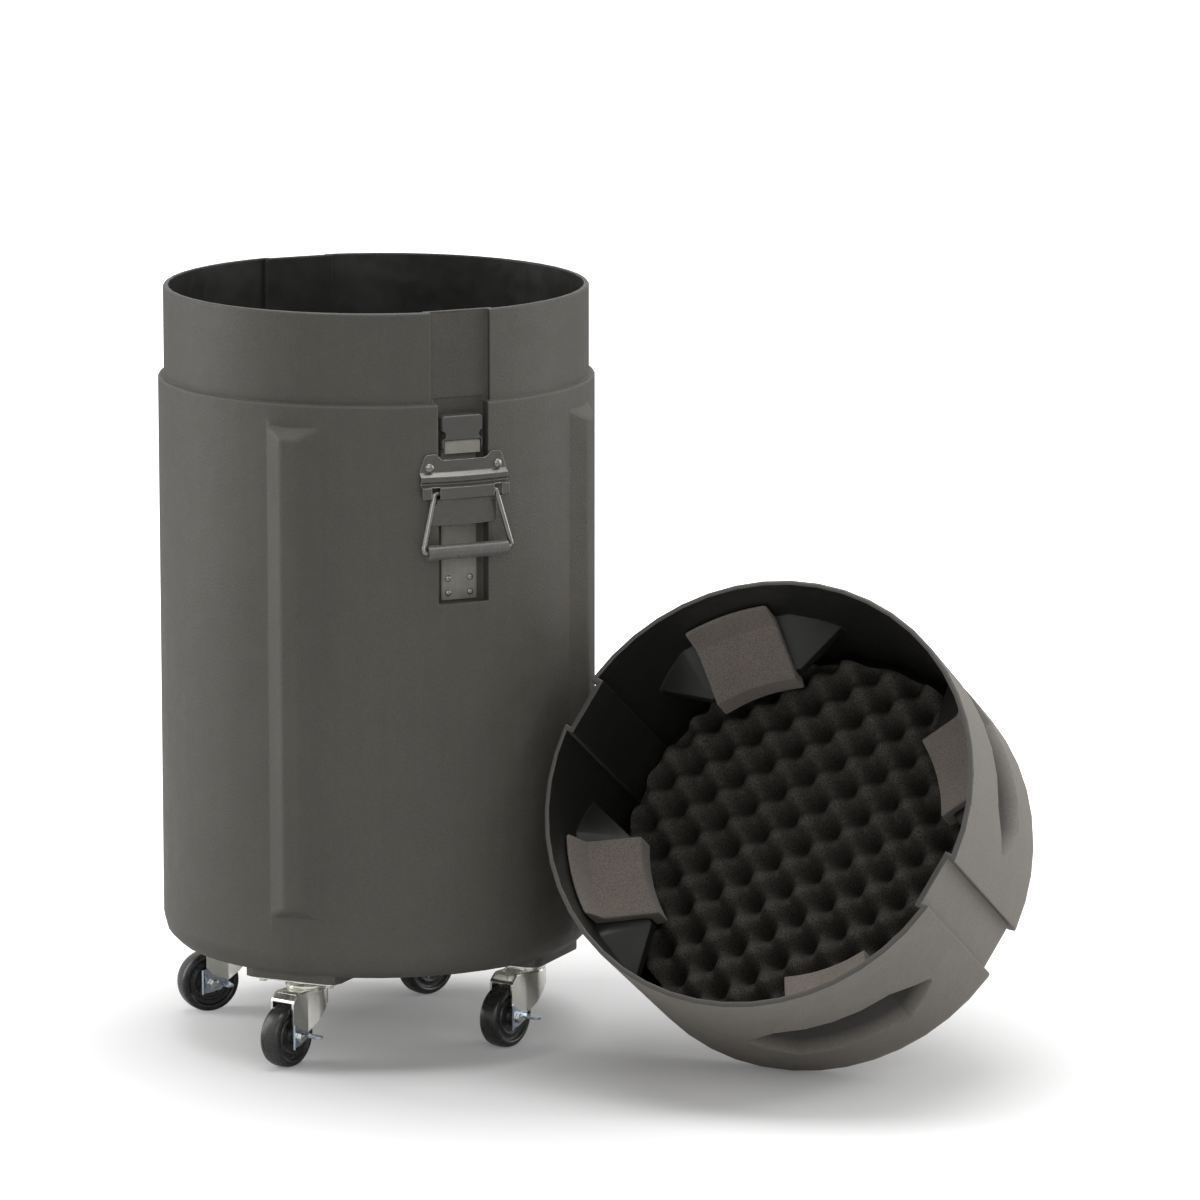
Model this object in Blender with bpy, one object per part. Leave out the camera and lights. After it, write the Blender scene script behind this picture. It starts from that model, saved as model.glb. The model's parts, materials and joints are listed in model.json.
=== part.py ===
"""Wheeled conga case: a tall moulded case on four swivel casters, with its lid taken off beside it.

Metres, +Z up. The case's own frame has its axis on Z, the floor at 0 and the front latch on -Y.
Azimuths turn from -Y towards +X. The lid's frame has its rim at 0 and its closed end up +Z.
"""
from math import asin, cos, hypot, pi, radians, sin, sqrt, tan

import bmesh
import bpy
from mathutils import Matrix, Vector

# Fits
GAP = 0.0003                    # between pieces that touch
HOLE_CLEARANCE = 0.0003         # round a pin, bolt or rivet
WEB_THICKNESS = 0.002
CUT_REACH = 0.02                # how far a cutter passes the face it opens
SHORT_REACH = 0.01              # the same in the small pieces
SMALL_EDGE = 0.001              # rounding of small turned and folded pieces
MERGE = 0.000002

# Case body
CASE_RADIUS = 0.225
CASE_WALL = 0.005
CASE_HEIGHT = 0.687             # underside to rim
BASE_EDGE_RADIUS = 0.028
LIP_HEIGHT = 0.093
LIP_INSET = 0.006
EDGE_CHAMFER = 0.0015
SHELL_SEGMENTS = 48
EDGE_STEPS = 3
RIB_WIDTH = 0.052
RIB_CROWN = 0.019
RIB_HEIGHT = 0.012
RIB_HIP = 0.0095                # run of the sloped ends
RIB_BELOW_STEP = 0.024
RIB_ABOVE_BASE = 0.066
RIB_ROUND = 0.0035
FOAM_THICKNESS = 0.025
FOAM_INSET = 0.039              # floor foam's edge inside the case's skin
FOAM_ROUND = 0.004
FOAM_SEGMENTS = 32              # of both foam blocks

# Latch recess and lip channel
LATCH_AZIMUTHS = {"front": 0.0, "back": pi}
RECESS_WIDTH = 0.055
RECESS_DEPTH = 0.016
RECESS_LENGTH = 0.203           # down from the lip step
LID_FIT = 0.0012                # lid on lip, all round

# Lid
LID_RADIUS = 0.2262
LID_WALL = 0.005
LID_DEPTH = 0.245
LID_EDGE_RADIUS = 0.028
CHANNEL_WIDTH = 0.052
CHANNEL_DEPTH = 0.0095
CHANNEL_END_DEPTH = 0.005
CHANNEL_ROUND = 0.026
POCKET_START = 0.088            # depths from the rim
POCKET_NOSE_START = 0.120
POCKET_NOSE_END = 0.129
POCKET_END = 0.166
POCKET_SPAN = radians(26.5)
POCKET_NOSE_SPAN = radians(15.7)
POCKET_DEPTH = 0.0482           # nose inside the lid's skin
LID_FOAM_FIT = 0.0127           # foam's side inside the wall
LID_FOAM_CHAMFER = (0.0185, 0.0222)     # inwards and up, round the foam's foot
LID_FOAM_RISE = 0.050           # foam's face above the lid's outer end
PAD_START = 0.048
PAD_END = 0.140
PAD_WIDTH = 0.088
PAD_THICKNESS = 0.012
PAD_CLEARANCE = 0.0008          # off the moulding it is glued to
LID_TILT = radians(30.4)        # closed end below level
LID_HEADING = radians(43.2)
LID_ROLL = radians(20.5)
LID_BEARING = radians(-60.3)    # of the lid's rim centre from the case
LEAN_GAP = 0.0005

# Casters
CASTER_HEIGHT = 0.091
CASTER_INSET = 0.057            # caster's swivel inside the case's skin
CASTER_AZIMUTHS = {
    "front_left": radians(-49.5),
    "front_right": radians(40.5),
    "back_right": radians(130.5),
    "back_left": radians(220.5),
}
TRAIL_HEADINGS = {
    "front_left": radians(210),
    "front_right": radians(209),
    "back_right": radians(196),
    "back_left": radians(180),
}
MOULDED_PAD = (0.108, 0.078, 0.005)
MOULDED_PAD_CORNER = 0.012
PLATE_LENGTH = 0.092
PLATE_WIDTH = 0.062
PLATE_THICKNESS = 0.003
PLATE_CORNER = 0.008
BOLT_SPACING = (0.076, 0.045)
BOLT_RADIUS = 0.0025
BOLT_SIDES = 6                  # of bolts, nuts and the holes they pass
TURNED_SEGMENTS = 14            # of spindle, race and grip
HOLE_SIDES = 10                 # of the holes on the axle
RIVET_SIDES = 8
HEAD_TAPER = 0.7                # top of a nut or rivet head to its foot
BOLT_HEAD = (0.005, 0.0025)     # radius, height
NUT = (0.0048, 0.003)
BACKING = (0.088, 0.055, 0.002)
BACKING_SHIFT = 0.004           # inwards, clear of the rounded base
BOSS_RADIUS = 0.019
BOSS_HEIGHT = 0.0042
RACE_RADIUS = 0.0215
RACE_HEIGHT = 0.0055
KING_PIN_RADIUS = 0.0055
KING_PIN_HEAD = (0.0095, 0.0028)
FORK_TRAIL = 0.034
FORK_GAUGE = 0.0024
FORK_WIDTH = 0.0292
FORK_DOME_RADIUS = 0.022
FORK_SKIRT = 0.018
FORK_NOSE = 0.007               # legs' front edge ahead of the axle
FORK_FOOT_RADIUS = 0.0085
FORK_SKIRT_REACH = 0.0077       # skirt's front end behind the swivel
FORK_BROW = (0.010, 0.009)      # slope at the top of the front edge: back, down
FORK_CORNER = 0.006
CROWN_STEPS = 9
TYRE_CLEARANCE = 0.003          # crown's opening above the wheel
RACE_FOOT = 0.0013              # narrowing of the race where it meets the crown
RACE_EDGE = 0.002
WHEEL_RADIUS = 0.0325
WHEEL_WIDTH = 0.022
WHEEL_HUB_RADIUS = 0.0085
WHEEL_SHOULDER = 0.005
WHEEL_DISH = 0.0025
WHEEL_SEGMENTS = 20
AXLE_RADIUS = 0.003
AXLE_NUT = (0.0055, 0.004)
LEVER_THICKNESS = 0.002
LEVER_HUB_RADIUS = 0.009
LEVER_WING = (0.013, 0.016, -0.010)     # reach forward, top and bottom from the axle
LEVER_CURL = 0.009
LEVER_CURL_END = radians(20)    # short of a quarter turn
LEVER_FOOT = (0.016, 0.022)     # reach back and out
LEVER_FOOT_THICKNESS = 0.0024
LEVER_TAIL_HALF = 0.003
LEVER_ROUND = 0.004

# Handles: heights are from the bail's pivot
PIVOT_BELOW_STEP = 0.088
HANDLE_WIDTH = 0.095
HANDLE_GAUGE = 0.0016
HANDLE_TOP = 0.0385
HANDLE_BOTTOM = -0.034
HANDLE_SECTION = (              # back face from the top down: off the wall, height
    (0, 0.0193), (0.0049, 0.0155), (0.0049, 0.0122), (0.0029, 0.0100), (0.0029, 0.0072),
    (0.0089, 0.0047), (0.0089, -0.0045), (0, -0.0075),
)
HANDLE_OUTLINE = (              # right half from the foot up: x, height, corner
    (0.0365, HANDLE_BOTTOM, 0.0045), (0.0365, -0.009, 0.002), (HANDLE_WIDTH / 2, -0.0055, 0.003),
    (HANDLE_WIDTH / 2, 0.020, 0.006), (0.0415, HANDLE_TOP, 0.005), (0.030, HANDLE_TOP, 0.004),
    (0.024, 0.0325, 0.004),
)
BAIL_SLOT = (0.0086, 0.018)     # width, height
BAIL_SLOT_PLACE = (0.034, -0.012)       # middle, foot
RIVET_X = 0.0372
RIVET_RISE = 0.025
RIVET_SHANK = 0.0019
RIVET_HEAD = (0.0045, 0.0015)
RIVET_TAIL = (0.0030, 0.001)
BAIL_WIRE = 0.0028
BAIL_STAND_OFF = 0.0036         # pivot outside the case wall
BAIL_END_X = 0.021
BAIL_EYE_X = 0.0334
BAIL_FOOT_X = 0.049
BAIL_DROP = 0.060
BAIL_BEND = 0.0035
BAIL_TILT = radians(4.2)
GRIP_RADIUS = 0.00775
GRIP_LENGTH = 0.088

# Straps and buckles: heights are from the lip step
STRAP_WIDTH = 0.039
STRAP_TOP = -0.0508
STRAP_FOOT_GAP = 0.0015
STRAP_RIVET_X = 0.012
STRAP_RIVET_RISES = (0.0085, 0.0235)    # from the recess bottom
STRAP_RIVET = (0.0015, 0.0030, 0.0010)  # shank radius, head radius, head height
BACKING_STRIP = (0.036, 0.026, 0.0015)
BUCKLE_WIDTH = 0.045
BUCKLE_HEIGHT = 0.035
BUCKLE_DEPTH = 0.012
BUCKLE_BOTTOM = -0.047
BUCKLE_BAR = 0.005
BUCKLE_SLOT = 0.0055
BUCKLE_SLOT_WIDTH = 0.041
BUCKLE_FLOOR = 0.003            # slot to mouth
BUCKLE_MOUTH = (0.037, 0.0065)
BUCKLE_NOTCH = (0.0048, 0.002)  # radius, middle above the mouth's floor
BUCKLE_CORNER = 0.004
BUCKLE_EDGE = 0.0012
BUCKLE_LIFT = 0.0005            # off the recess floor

# Values that follow from those above
CASE_BOTTOM = CASTER_HEIGHT + GAP + MOULDED_PAD[2]
CASE_RIM = CASE_BOTTOM + CASE_HEIGHT
LIP_STEP = CASE_RIM - LIP_HEIGHT
LIP_RADIUS = CASE_RADIUS - LIP_INSET
FOAM_RADIUS = CASE_RADIUS - FOAM_INSET
CASTER_CIRCLE = CASE_RADIUS - CASTER_INSET
RECESS_FLOOR = CASE_RADIUS - RECESS_DEPTH
RECESS_BOTTOM = LIP_STEP - RECESS_LENGTH
POCKET_NOSE_RADIUS = LID_RADIUS - POCKET_DEPTH
LID_FOAM_RADIUS = LID_RADIUS - LID_WALL - LID_FOAM_FIT
LID_FOAM_TOP = LID_DEPTH - LID_FOAM_RISE
LID_FOAM_FLOOR = LID_DEPTH - CHANNEL_END_DEPTH - LID_WALL - GAP
LID_CHANNEL_SKIN = LID_RADIUS - CHANNEL_DEPTH - LID_WALL
LIP_CHANNEL_FLOOR = LID_CHANNEL_SKIN - LID_FIT
LIP_CHANNEL_WIDTH = CHANNEL_WIDTH + 2 * LID_WALL + 2 * LID_FIT
PIVOT_Z = LIP_STEP - PIVOT_BELOW_STEP
AXLE_Z = WHEEL_RADIUS
PLATE_BOTTOM = CASTER_HEIGHT - PLATE_THICKNESS
BOSS_BOTTOM = PLATE_BOTTOM - BOSS_HEIGHT
RACE_TOP = BOSS_BOTTOM - GAP
FORK_TOP = RACE_TOP - RACE_HEIGHT
FORK_CEILING = FORK_TOP - FORK_GAUGE
FACET = cos(pi / SHELL_SEGMENTS)        # inradius of the faceted shells


def srgb(red, green, blue):
    """Linear colour of a screen colour from 0 to 255."""
    def linear(value):
        share = value / 255
        return share / 12.92 if share <= 0.04045 else ((share + 0.055) / 1.055) ** 2.4
    return (linear(red), linear(green), linear(blue), 1)


MATERIALS = {
    "case_plastic": (srgb(112, 107, 101), 0.62, 0),
    "lid_plastic": (srgb(124, 119, 112), 0.62, 0),
    "pad_foam": (srgb(104, 97, 91), 0.95, 0),
    "dark_foam": (srgb(46, 45, 46), 0.98, 0),
    "zinc": (srgb(196, 196, 194), 0.32, 1),
    "blue_zinc": (srgb(168, 176, 190), 0.36, 1),
    "steel": (srgb(150, 150, 150), 0.4, 1),
    "wheel_plastic": (srgb(30, 30, 31), 0.42, 0),
    "handle_metal": (srgb(72, 72, 74), 0.42, 1),
    "grip_plastic": (srgb(70, 69, 67), 0.42, 0),
    "webbing": (srgb(108, 105, 99), 0.85, 0),
    "buckle_plastic": (srgb(72, 71, 69), 0.45, 0),
}


def clear_scene():
    for item in list(bpy.data.objects):
        bpy.data.objects.remove(item, do_unlink=True)


def surface(name):
    """Principled material of that name, made once."""
    made = bpy.data.materials.get(name)
    if made:
        return made
    colour, roughness, metallic = MATERIALS[name]
    made = bpy.data.materials.new(name)
    made.use_nodes = True
    shader = made.node_tree.nodes["Principled BSDF"]
    shader.inputs["Base Color"].default_value = colour
    shader.inputs["Roughness"].default_value = roughness
    shader.inputs["Metallic"].default_value = metallic
    return made


def arc(centre, radius, start, end, steps):
    """Points of an arc in a plane, both ends included."""
    angles = [start + (end - start) * step / steps for step in range(steps + 1)]
    return [(centre[0] + radius * cos(angle), centre[1] + radius * sin(angle)) for angle in angles]


def circle(radius, segments, centre=(0, 0)):
    return arc(centre, radius, 0, 2 * pi, segments)[:-1]


def rounded(points, radii, steps=3, closed=True):
    """Outline with its corners turned to arcs, one radius for all or one for each corner."""
    if not isinstance(radii, (list, tuple)):
        radii = [radii] * len(points)
    outline = []
    for index, (corner, radius) in enumerate(zip(points, radii)):
        inner = closed or 0 < index < len(points) - 1
        if not inner or radius == 0:
            outline.append(tuple(corner))
            continue
        corner = Vector(corner)
        before = (Vector(points[index - 1]) - corner).normalized()
        after = (Vector(points[(index + 1) % len(points)]) - corner).normalized()
        half = before.angle(after) / 2
        centre = corner + (before + after).normalized() * radius / sin(half)
        first = corner + before * radius / tan(half) - centre
        last = corner + after * radius / tan(half) - centre
        turn = pi - 2 * half
        for step in range(steps + 1):
            part = turn * step / steps
            point = centre + (first * sin(turn - part) + last * sin(part)) / sin(turn)
            outline.append(tuple(point))
    return outline


def rectangle(width, height, low=(None, None)):
    """Corners of a rectangle, centred unless low names its lower left corner."""
    left = -width / 2 if low[0] is None else low[0]
    bottom = -height / 2 if low[1] is None else low[1]
    right, top = left + width, bottom + height
    return [(left, bottom), (right, bottom), (right, top), (left, top)]


def offset_path(points, distance):
    """Open path moved to its left by distance, with mitred corners."""
    moved = []
    for index, point in enumerate(points):
        sides = []
        for first, second in ((index - 1, index), (index, index + 1)):
            if first >= 0 and second < len(points):
                along = (Vector(points[second]) - Vector(points[first])).normalized()
                sides.append(Vector((-along.y, along.x)))
        mitre = sum(sides, Vector((0, 0))).normalized()
        moved.append(tuple(Vector(point) + mitre * distance / mitre.dot(sides[0])))
    return moved


def finish(mesh_data, name="shape"):
    """Object from a bmesh, with doubles merged and faces turned out."""
    bmesh.ops.remove_doubles(mesh_data, verts=mesh_data.verts, dist=MERGE)
    bmesh.ops.recalc_face_normals(mesh_data, faces=mesh_data.faces)
    mesh = bpy.data.meshes.new(name)
    mesh_data.to_mesh(mesh)
    mesh_data.free()
    made = bpy.data.objects.new(name, mesh)
    bpy.context.collection.objects.link(made)
    return made


def turned(profile, segments):
    """Solid of revolution about Z from (radius, height) points."""
    work = bmesh.new()
    points = [work.verts.new((radius, 0, height)) for radius, height in profile]
    pairs = list(zip(points, points[1:]))
    if profile[0][0] > 0:
        pairs.append((points[-1], points[0]))
    edges = [work.edges.new(pair) for pair in pairs]
    bmesh.ops.spin(work, geom=points + edges, cent=(0, 0, 0), axis=(0, 0, 1), angle=2 * pi,
                   steps=segments, use_merge=True)
    return finish(work)


def lofted(rings):
    """Solid through a row of rings with equal numbers of points, closed at both ends."""
    work = bmesh.new()
    rows = [[work.verts.new(point) for point in ring] for ring in rings]
    count = len(rows[0])
    for first, second in zip(rows, rows[1:]):
        for index in range(count):
            following = (index + 1) % count
            work.faces.new((first[index], first[following], second[following], second[index]))
    work.faces.new(rows[0])
    work.faces.new(rows[-1])
    return finish(work)


def prism(outline, low, high, edge=0, edge_steps=1):
    """Outline in XY extruded from low to high, its two rims bevelled by edge."""
    work = bmesh.new()
    base = work.faces.new([work.verts.new((x, y, low)) for x, y in outline])
    grown = bmesh.ops.extrude_face_region(work, geom=[base])
    risen = [item for item in grown["geom"] if isinstance(item, bmesh.types.BMVert)]
    bmesh.ops.translate(work, verts=risen, vec=(0, 0, high - low))
    if edge:
        rims = [line for line in work.edges if line.verts[0].co.z == line.verts[1].co.z]
        bmesh.ops.bevel(work, geom=rims, offset=edge, segments=edge_steps, profile=0.5,
                        affect="EDGES")
    return finish(work)


def upright(item):
    """Stand an XY extrusion up: its Y becomes Z, and its height runs along -Y."""
    item.data.transform(Matrix.Rotation(pi / 2, 4, "X"))
    return item


def along_x(item):
    """Lay an extrusion of a (y, z) outline along X."""
    item.data.transform(Matrix(((0, 0, 1, 0), (1, 0, 0, 0), (0, 1, 0, 0), (0, 0, 0, 1))))
    return item


def shifted(item, x=0, y=0, z=0, azimuth=0):
    item.data.transform(Matrix.Rotation(azimuth, 4, "Z") @ Matrix.Translation((x, y, z)))
    return item


def rod(radius, low, high, segments=12, x=0, y=0):
    return prism(circle(radius, segments, (x, y)), low, high)


def front_rod(radius, inner, outer, x, z, segments=12):
    """Rod square to the front face, between two distances from the case's axis."""
    return shifted(upright(rod(radius, inner, outer, segments)), x=x, z=z)


def gathered(items):
    """Separate shapes joined into one mesh, as a cutter."""
    work = bmesh.new()
    for item in items:
        work.from_mesh(item.data)
        bpy.data.objects.remove(item)
    return finish(work)


def combined(base, joins=(), cuts=(), keep=()):
    """Base with shapes joined, cut away or kept in common; the shapes are used up."""
    steps = [("UNION", item) for item in joins]
    steps += [("INTERSECT", item) for item in keep]
    steps += [("DIFFERENCE", item) for item in cuts]
    for operation, item in steps:
        step = base.modifiers.new(operation, "BOOLEAN")
        step.operation = operation
        step.object = item
    bpy.context.view_layer.update()
    result = bpy.data.meshes.new_from_object(
        base.evaluated_get(bpy.context.evaluated_depsgraph_get()))
    work = bmesh.new()
    work.from_mesh(result)
    for _, item in steps:
        bpy.data.objects.remove(item)
    bpy.data.objects.remove(base)
    return finish(work)


def grown(shape, distance):
    """Shape in triangles, with every face moved out by distance."""
    work = bmesh.new()
    work.from_mesh(shape.data)
    bmesh.ops.triangulate(work, faces=work.faces)
    work.normal_update()
    moves = [vertex.normal * distance * vertex.calc_shell_factor() for vertex in work.verts]
    for vertex, move in zip(work.verts, moves):
        vertex.co += move
    work.to_mesh(shape.data)
    work.free()
    return shape


def node(name, shape, material, parent, location=(0, 0, 0), turn=0, smooth=30):
    """Named piece from a scratch shape, or from a mesh that an earlier piece already has."""
    mesh = shape if isinstance(shape, bpy.types.Mesh) else shape.data
    if mesh is not shape:
        bpy.data.objects.remove(shape)
        mesh.name = name
        mesh.materials.clear()
        mesh.materials.append(surface(material))
        mesh.shade_smooth()
        mesh.set_sharp_from_angle(angle=radians(smooth))
    made = bpy.data.objects.new(name, mesh)
    bpy.context.collection.objects.link(made)
    made.parent = parent
    made.location = location
    made.rotation_euler = (0, 0, turn)
    return made


def empty(name, parent=None, matrix=None):
    made = bpy.data.objects.new(name, None)
    bpy.context.collection.objects.link(made)
    made.parent = parent
    if matrix is not None:
        made.matrix_local = matrix
    return made


def shell_profile(radius, bottom, edge, top):
    """Closed-bottomed outline from the axis, round the bottom edge and up to top."""
    turn = arc((radius - edge, bottom + edge), edge, -pi / 2, 0, EDGE_STEPS)
    return [(0, bottom)] + turn + [(radius, top)]


def rib(inset, root):
    """Hipped ridge on the front, shrunk all round by inset, from radius root outwards."""
    crown = CASE_RADIUS + RIB_HEIGHT - inset
    side = (RIB_WIDTH - RIB_CROWN) / 2 / RIB_HEIGHT
    hip = RIB_HIP / RIB_HEIGHT
    low = CASE_BOTTOM + RIB_ABOVE_BASE + RIB_HIP
    high = LIP_STEP - RIB_BELOW_STEP - RIB_HIP
    rings = []
    for radius in (root, crown):
        fall = crown - radius
        half = RIB_CROWN / 2 - inset * (hypot(1, side) - side) + side * fall
        end = hip * fall - inset * (hypot(1, hip) - hip)
        corners = rectangle(2 * half, high - low + 2 * end, (-half, low - end))
        rings.append([(x, -radius, z) for x, z in corners])
    shape = lofted(rings)
    if inset == 0:
        work = bmesh.new()
        work.from_mesh(shape.data)
        edges = [line for line in work.edges if min(end.co.y for end in line.verts) < -root - MERGE]
        bmesh.ops.bevel(work, geom=edges, offset=RIB_ROUND, segments=2, profile=0.5,
                        affect="EDGES")
        work.to_mesh(shape.data)
        work.free()
    return shape


def front_block(width, inner, bottom, top):
    """Block on the front, from radius inner out past the wall."""
    outline = rectangle(width, top - bottom, (-width / 2, bottom))
    return upright(prism(outline, inner, CASE_RADIUS + CUT_REACH))


def around(build, azimuths):
    """The same shape built at each azimuth."""
    return [shifted(build(), azimuth=azimuth) for azimuth in azimuths]


def bolt_places():
    return [(x * BOLT_SPACING[0] / 2, y * BOLT_SPACING[1] / 2) for x in (-1, 1) for y in (-1, 1)]


def rivet_azimuth():
    return asin(RIVET_X / CASE_RADIUS)


def body_holes():
    """Cutters for the caster bolts and the latches' rivets."""
    cutters = []
    for azimuth in CASTER_AZIMUTHS.values():
        for x, y in bolt_places():
            hole = rod(BOLT_RADIUS + HOLE_CLEARANCE, CASTER_HEIGHT - CUT_REACH,
                       CASE_BOTTOM + CUT_REACH, BOLT_SIDES, x, y - CASTER_CIRCLE)
            cutters.append(shifted(hole, azimuth=azimuth))
    for azimuth in LATCH_AZIMUTHS.values():
        for side in (-1, 1):
            hole = front_rod(RIVET_SHANK + HOLE_CLEARANCE, CASE_RADIUS - CUT_REACH,
                             CASE_RADIUS + CUT_REACH, 0, PIVOT_Z + RIVET_RISE, RIVET_SIDES)
            cutters.append(shifted(hole, azimuth=azimuth + side * rivet_azimuth()))
            for rise in STRAP_RIVET_RISES:
                hole = front_rod(STRAP_RIVET[0] + HOLE_CLEARANCE, RECESS_FLOOR - CUT_REACH,
                                 RECESS_FLOOR + CUT_REACH, side * STRAP_RIVET_X,
                                 RECESS_BOTTOM + rise, BOLT_SIDES)
                cutters.append(shifted(hole, azimuth=azimuth))
    return gathered(cutters)


def body_cavity(rib_azimuths):
    """The inside of the case: round, with the ribs' hollows and the backs of both latch channels."""
    radius = CASE_RADIUS - CASE_WALL
    lip = LIP_RADIUS - CASE_WALL
    shoulder = LIP_STEP - CASE_WALL
    profile = shell_profile(radius, CASE_BOTTOM + CASE_WALL, BASE_EDGE_RADIUS - CASE_WALL,
                            shoulder)
    profile += [(lip, shoulder + LIP_INSET), (lip, CASE_RIM + CUT_REACH), (0, CASE_RIM + CUT_REACH)]
    backs = []
    for azimuth in LATCH_AZIMUTHS.values():
        lower = front_block(RECESS_WIDTH + 2 * CASE_WALL, RECESS_FLOOR - CASE_WALL,
                            RECESS_BOTTOM - CASE_WALL, LIP_STEP + CASE_WALL)
        upper = front_block(LIP_CHANNEL_WIDTH + 2 * CASE_WALL, LIP_CHANNEL_FLOOR - CASE_WALL,
                            LIP_STEP - CASE_WALL, CASE_RIM + 2 * CUT_REACH)
        backs += [shifted(lower, azimuth=azimuth), shifted(upper, azimuth=azimuth)]
    hollows = around(lambda: rib(CASE_WALL, radius - CUT_REACH), rib_azimuths)
    return combined(turned(profile, SHELL_SEGMENTS), joins=hollows, cuts=backs)


def body_shell(root):
    """Moulded case: wall, lip, ribs, latch recesses, lip channels and the casters' pads."""
    rib_azimuths = [pi / 4 + quarter * pi / 2 for quarter in range(4)]
    profile = shell_profile(CASE_RADIUS, CASE_BOTTOM, BASE_EDGE_RADIUS, LIP_STEP - EDGE_CHAMFER)
    profile += [(CASE_RADIUS - EDGE_CHAMFER, LIP_STEP), (LIP_RADIUS, LIP_STEP),
                (LIP_RADIUS, CASE_RIM - EDGE_CHAMFER), (LIP_RADIUS - EDGE_CHAMFER, CASE_RIM),
                (0, CASE_RIM)]
    ribs = around(lambda: rib(0, CASE_RADIUS - 2 * CASE_WALL), rib_azimuths)

    def moulded_pad():
        outline = rounded(rectangle(*MOULDED_PAD[:2]), MOULDED_PAD_CORNER, 2)
        return shifted(prism(outline, CASTER_HEIGHT + GAP, CASE_BOTTOM + 2 * CASE_WALL),
                       y=-CASTER_CIRCLE)

    def recess():
        return front_block(RECESS_WIDTH, RECESS_FLOOR, RECESS_BOTTOM, LIP_STEP + CASE_WALL)

    def lip_channel():
        return front_block(LIP_CHANNEL_WIDTH, LIP_CHANNEL_FLOOR, LIP_STEP, CASE_RIM + CUT_REACH)

    pads = around(moulded_pad, CASTER_AZIMUTHS.values())
    latches = LATCH_AZIMUTHS.values()
    solid = combined(turned(profile, SHELL_SEGMENTS), joins=ribs + pads,
                     cuts=around(recess, latches) + around(lip_channel, latches))
    solid = combined(solid, cuts=[body_cavity(rib_azimuths)])
    node("body_shell", combined(solid, cuts=[body_holes()]), "case_plastic", root)


def floor_foam(root):
    """Foam disc that the drum stands on, over the casters' fixings."""
    bottom = CASE_BOTTOM + CASE_WALL + BACKING[2] + BOLT_HEAD[1] + 2 * GAP
    disc = prism(circle(FOAM_RADIUS, FOAM_SEGMENTS), bottom, bottom + FOAM_THICKNESS, FOAM_ROUND)
    node("body_floor_foam", disc, "pad_foam", root)


def caster_plate():
    """Top plate with its turned boss and the king pin that the fork hangs on."""
    plate = prism(rounded(rectangle(PLATE_LENGTH, PLATE_WIDTH), PLATE_CORNER, 2), PLATE_BOTTOM,
                  CASTER_HEIGHT)
    head_top = FORK_CEILING - GAP
    head_radius, head_height = KING_PIN_HEAD
    spindle = turned([
        (0, head_top - head_height), (head_radius - SMALL_EDGE, head_top - head_height),
        (head_radius, head_top - head_height + SMALL_EDGE), (head_radius, head_top),
        (KING_PIN_RADIUS, head_top), (KING_PIN_RADIUS, BOSS_BOTTOM), (BOSS_RADIUS, BOSS_BOTTOM),
        (BOSS_RADIUS, PLATE_BOTTOM + PLATE_THICKNESS / 2),
        (0, PLATE_BOTTOM + PLATE_THICKNESS / 2),
    ], TURNED_SEGMENTS)
    holes = [rod(BOLT_RADIUS + HOLE_CLEARANCE, PLATE_BOTTOM - GAP, CASTER_HEIGHT + GAP, BOLT_SIDES,
                 x, y) for x, y in bolt_places()]
    return combined(plate, joins=[spindle], cuts=[gathered(holes)])


def caster_fixing():
    """Backing plate inside the case, with its four bolts down through the caster's plate."""
    bottom = CASE_BOTTOM + CASE_WALL + GAP
    plate = prism(rounded(rectangle(*BACKING[:2]), PLATE_CORNER / 2, 1), bottom,
                  bottom + BACKING[2])
    shifted(plate, y=BACKING_SHIFT)
    nut_top = PLATE_BOTTOM - GAP
    bolts = []
    for x, y in bolt_places():
        bolt = turned([
            (0, nut_top - NUT[1]), (NUT[0], nut_top - NUT[1]), (NUT[0], nut_top),
            (BOLT_RADIUS, nut_top), (BOLT_RADIUS, bottom + BACKING[2] / 2),
            (BOLT_HEAD[0], bottom + BACKING[2] / 2),
            (BOLT_HEAD[0] * HEAD_TAPER, bottom + BACKING[2] + BOLT_HEAD[1]),
            (0, bottom + BACKING[2] + BOLT_HEAD[1]),
        ], BOLT_SIDES)
        bolts.append(shifted(bolt, x=x, y=y))
    return combined(plate, joins=[gathered(bolts)])


def keyhole(inset, front):
    """Plan of the fork: a round crown with straight legs forward, shrunk by inset."""
    radius = FORK_DOME_RADIUS - inset
    half = FORK_WIDTH / 2 - inset
    start = asin(half / radius)
    return (arc((0, 0), radius, start, 2 * pi - start, CROWN_STEPS) +
            [(front, -half), (front, half)])


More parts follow.
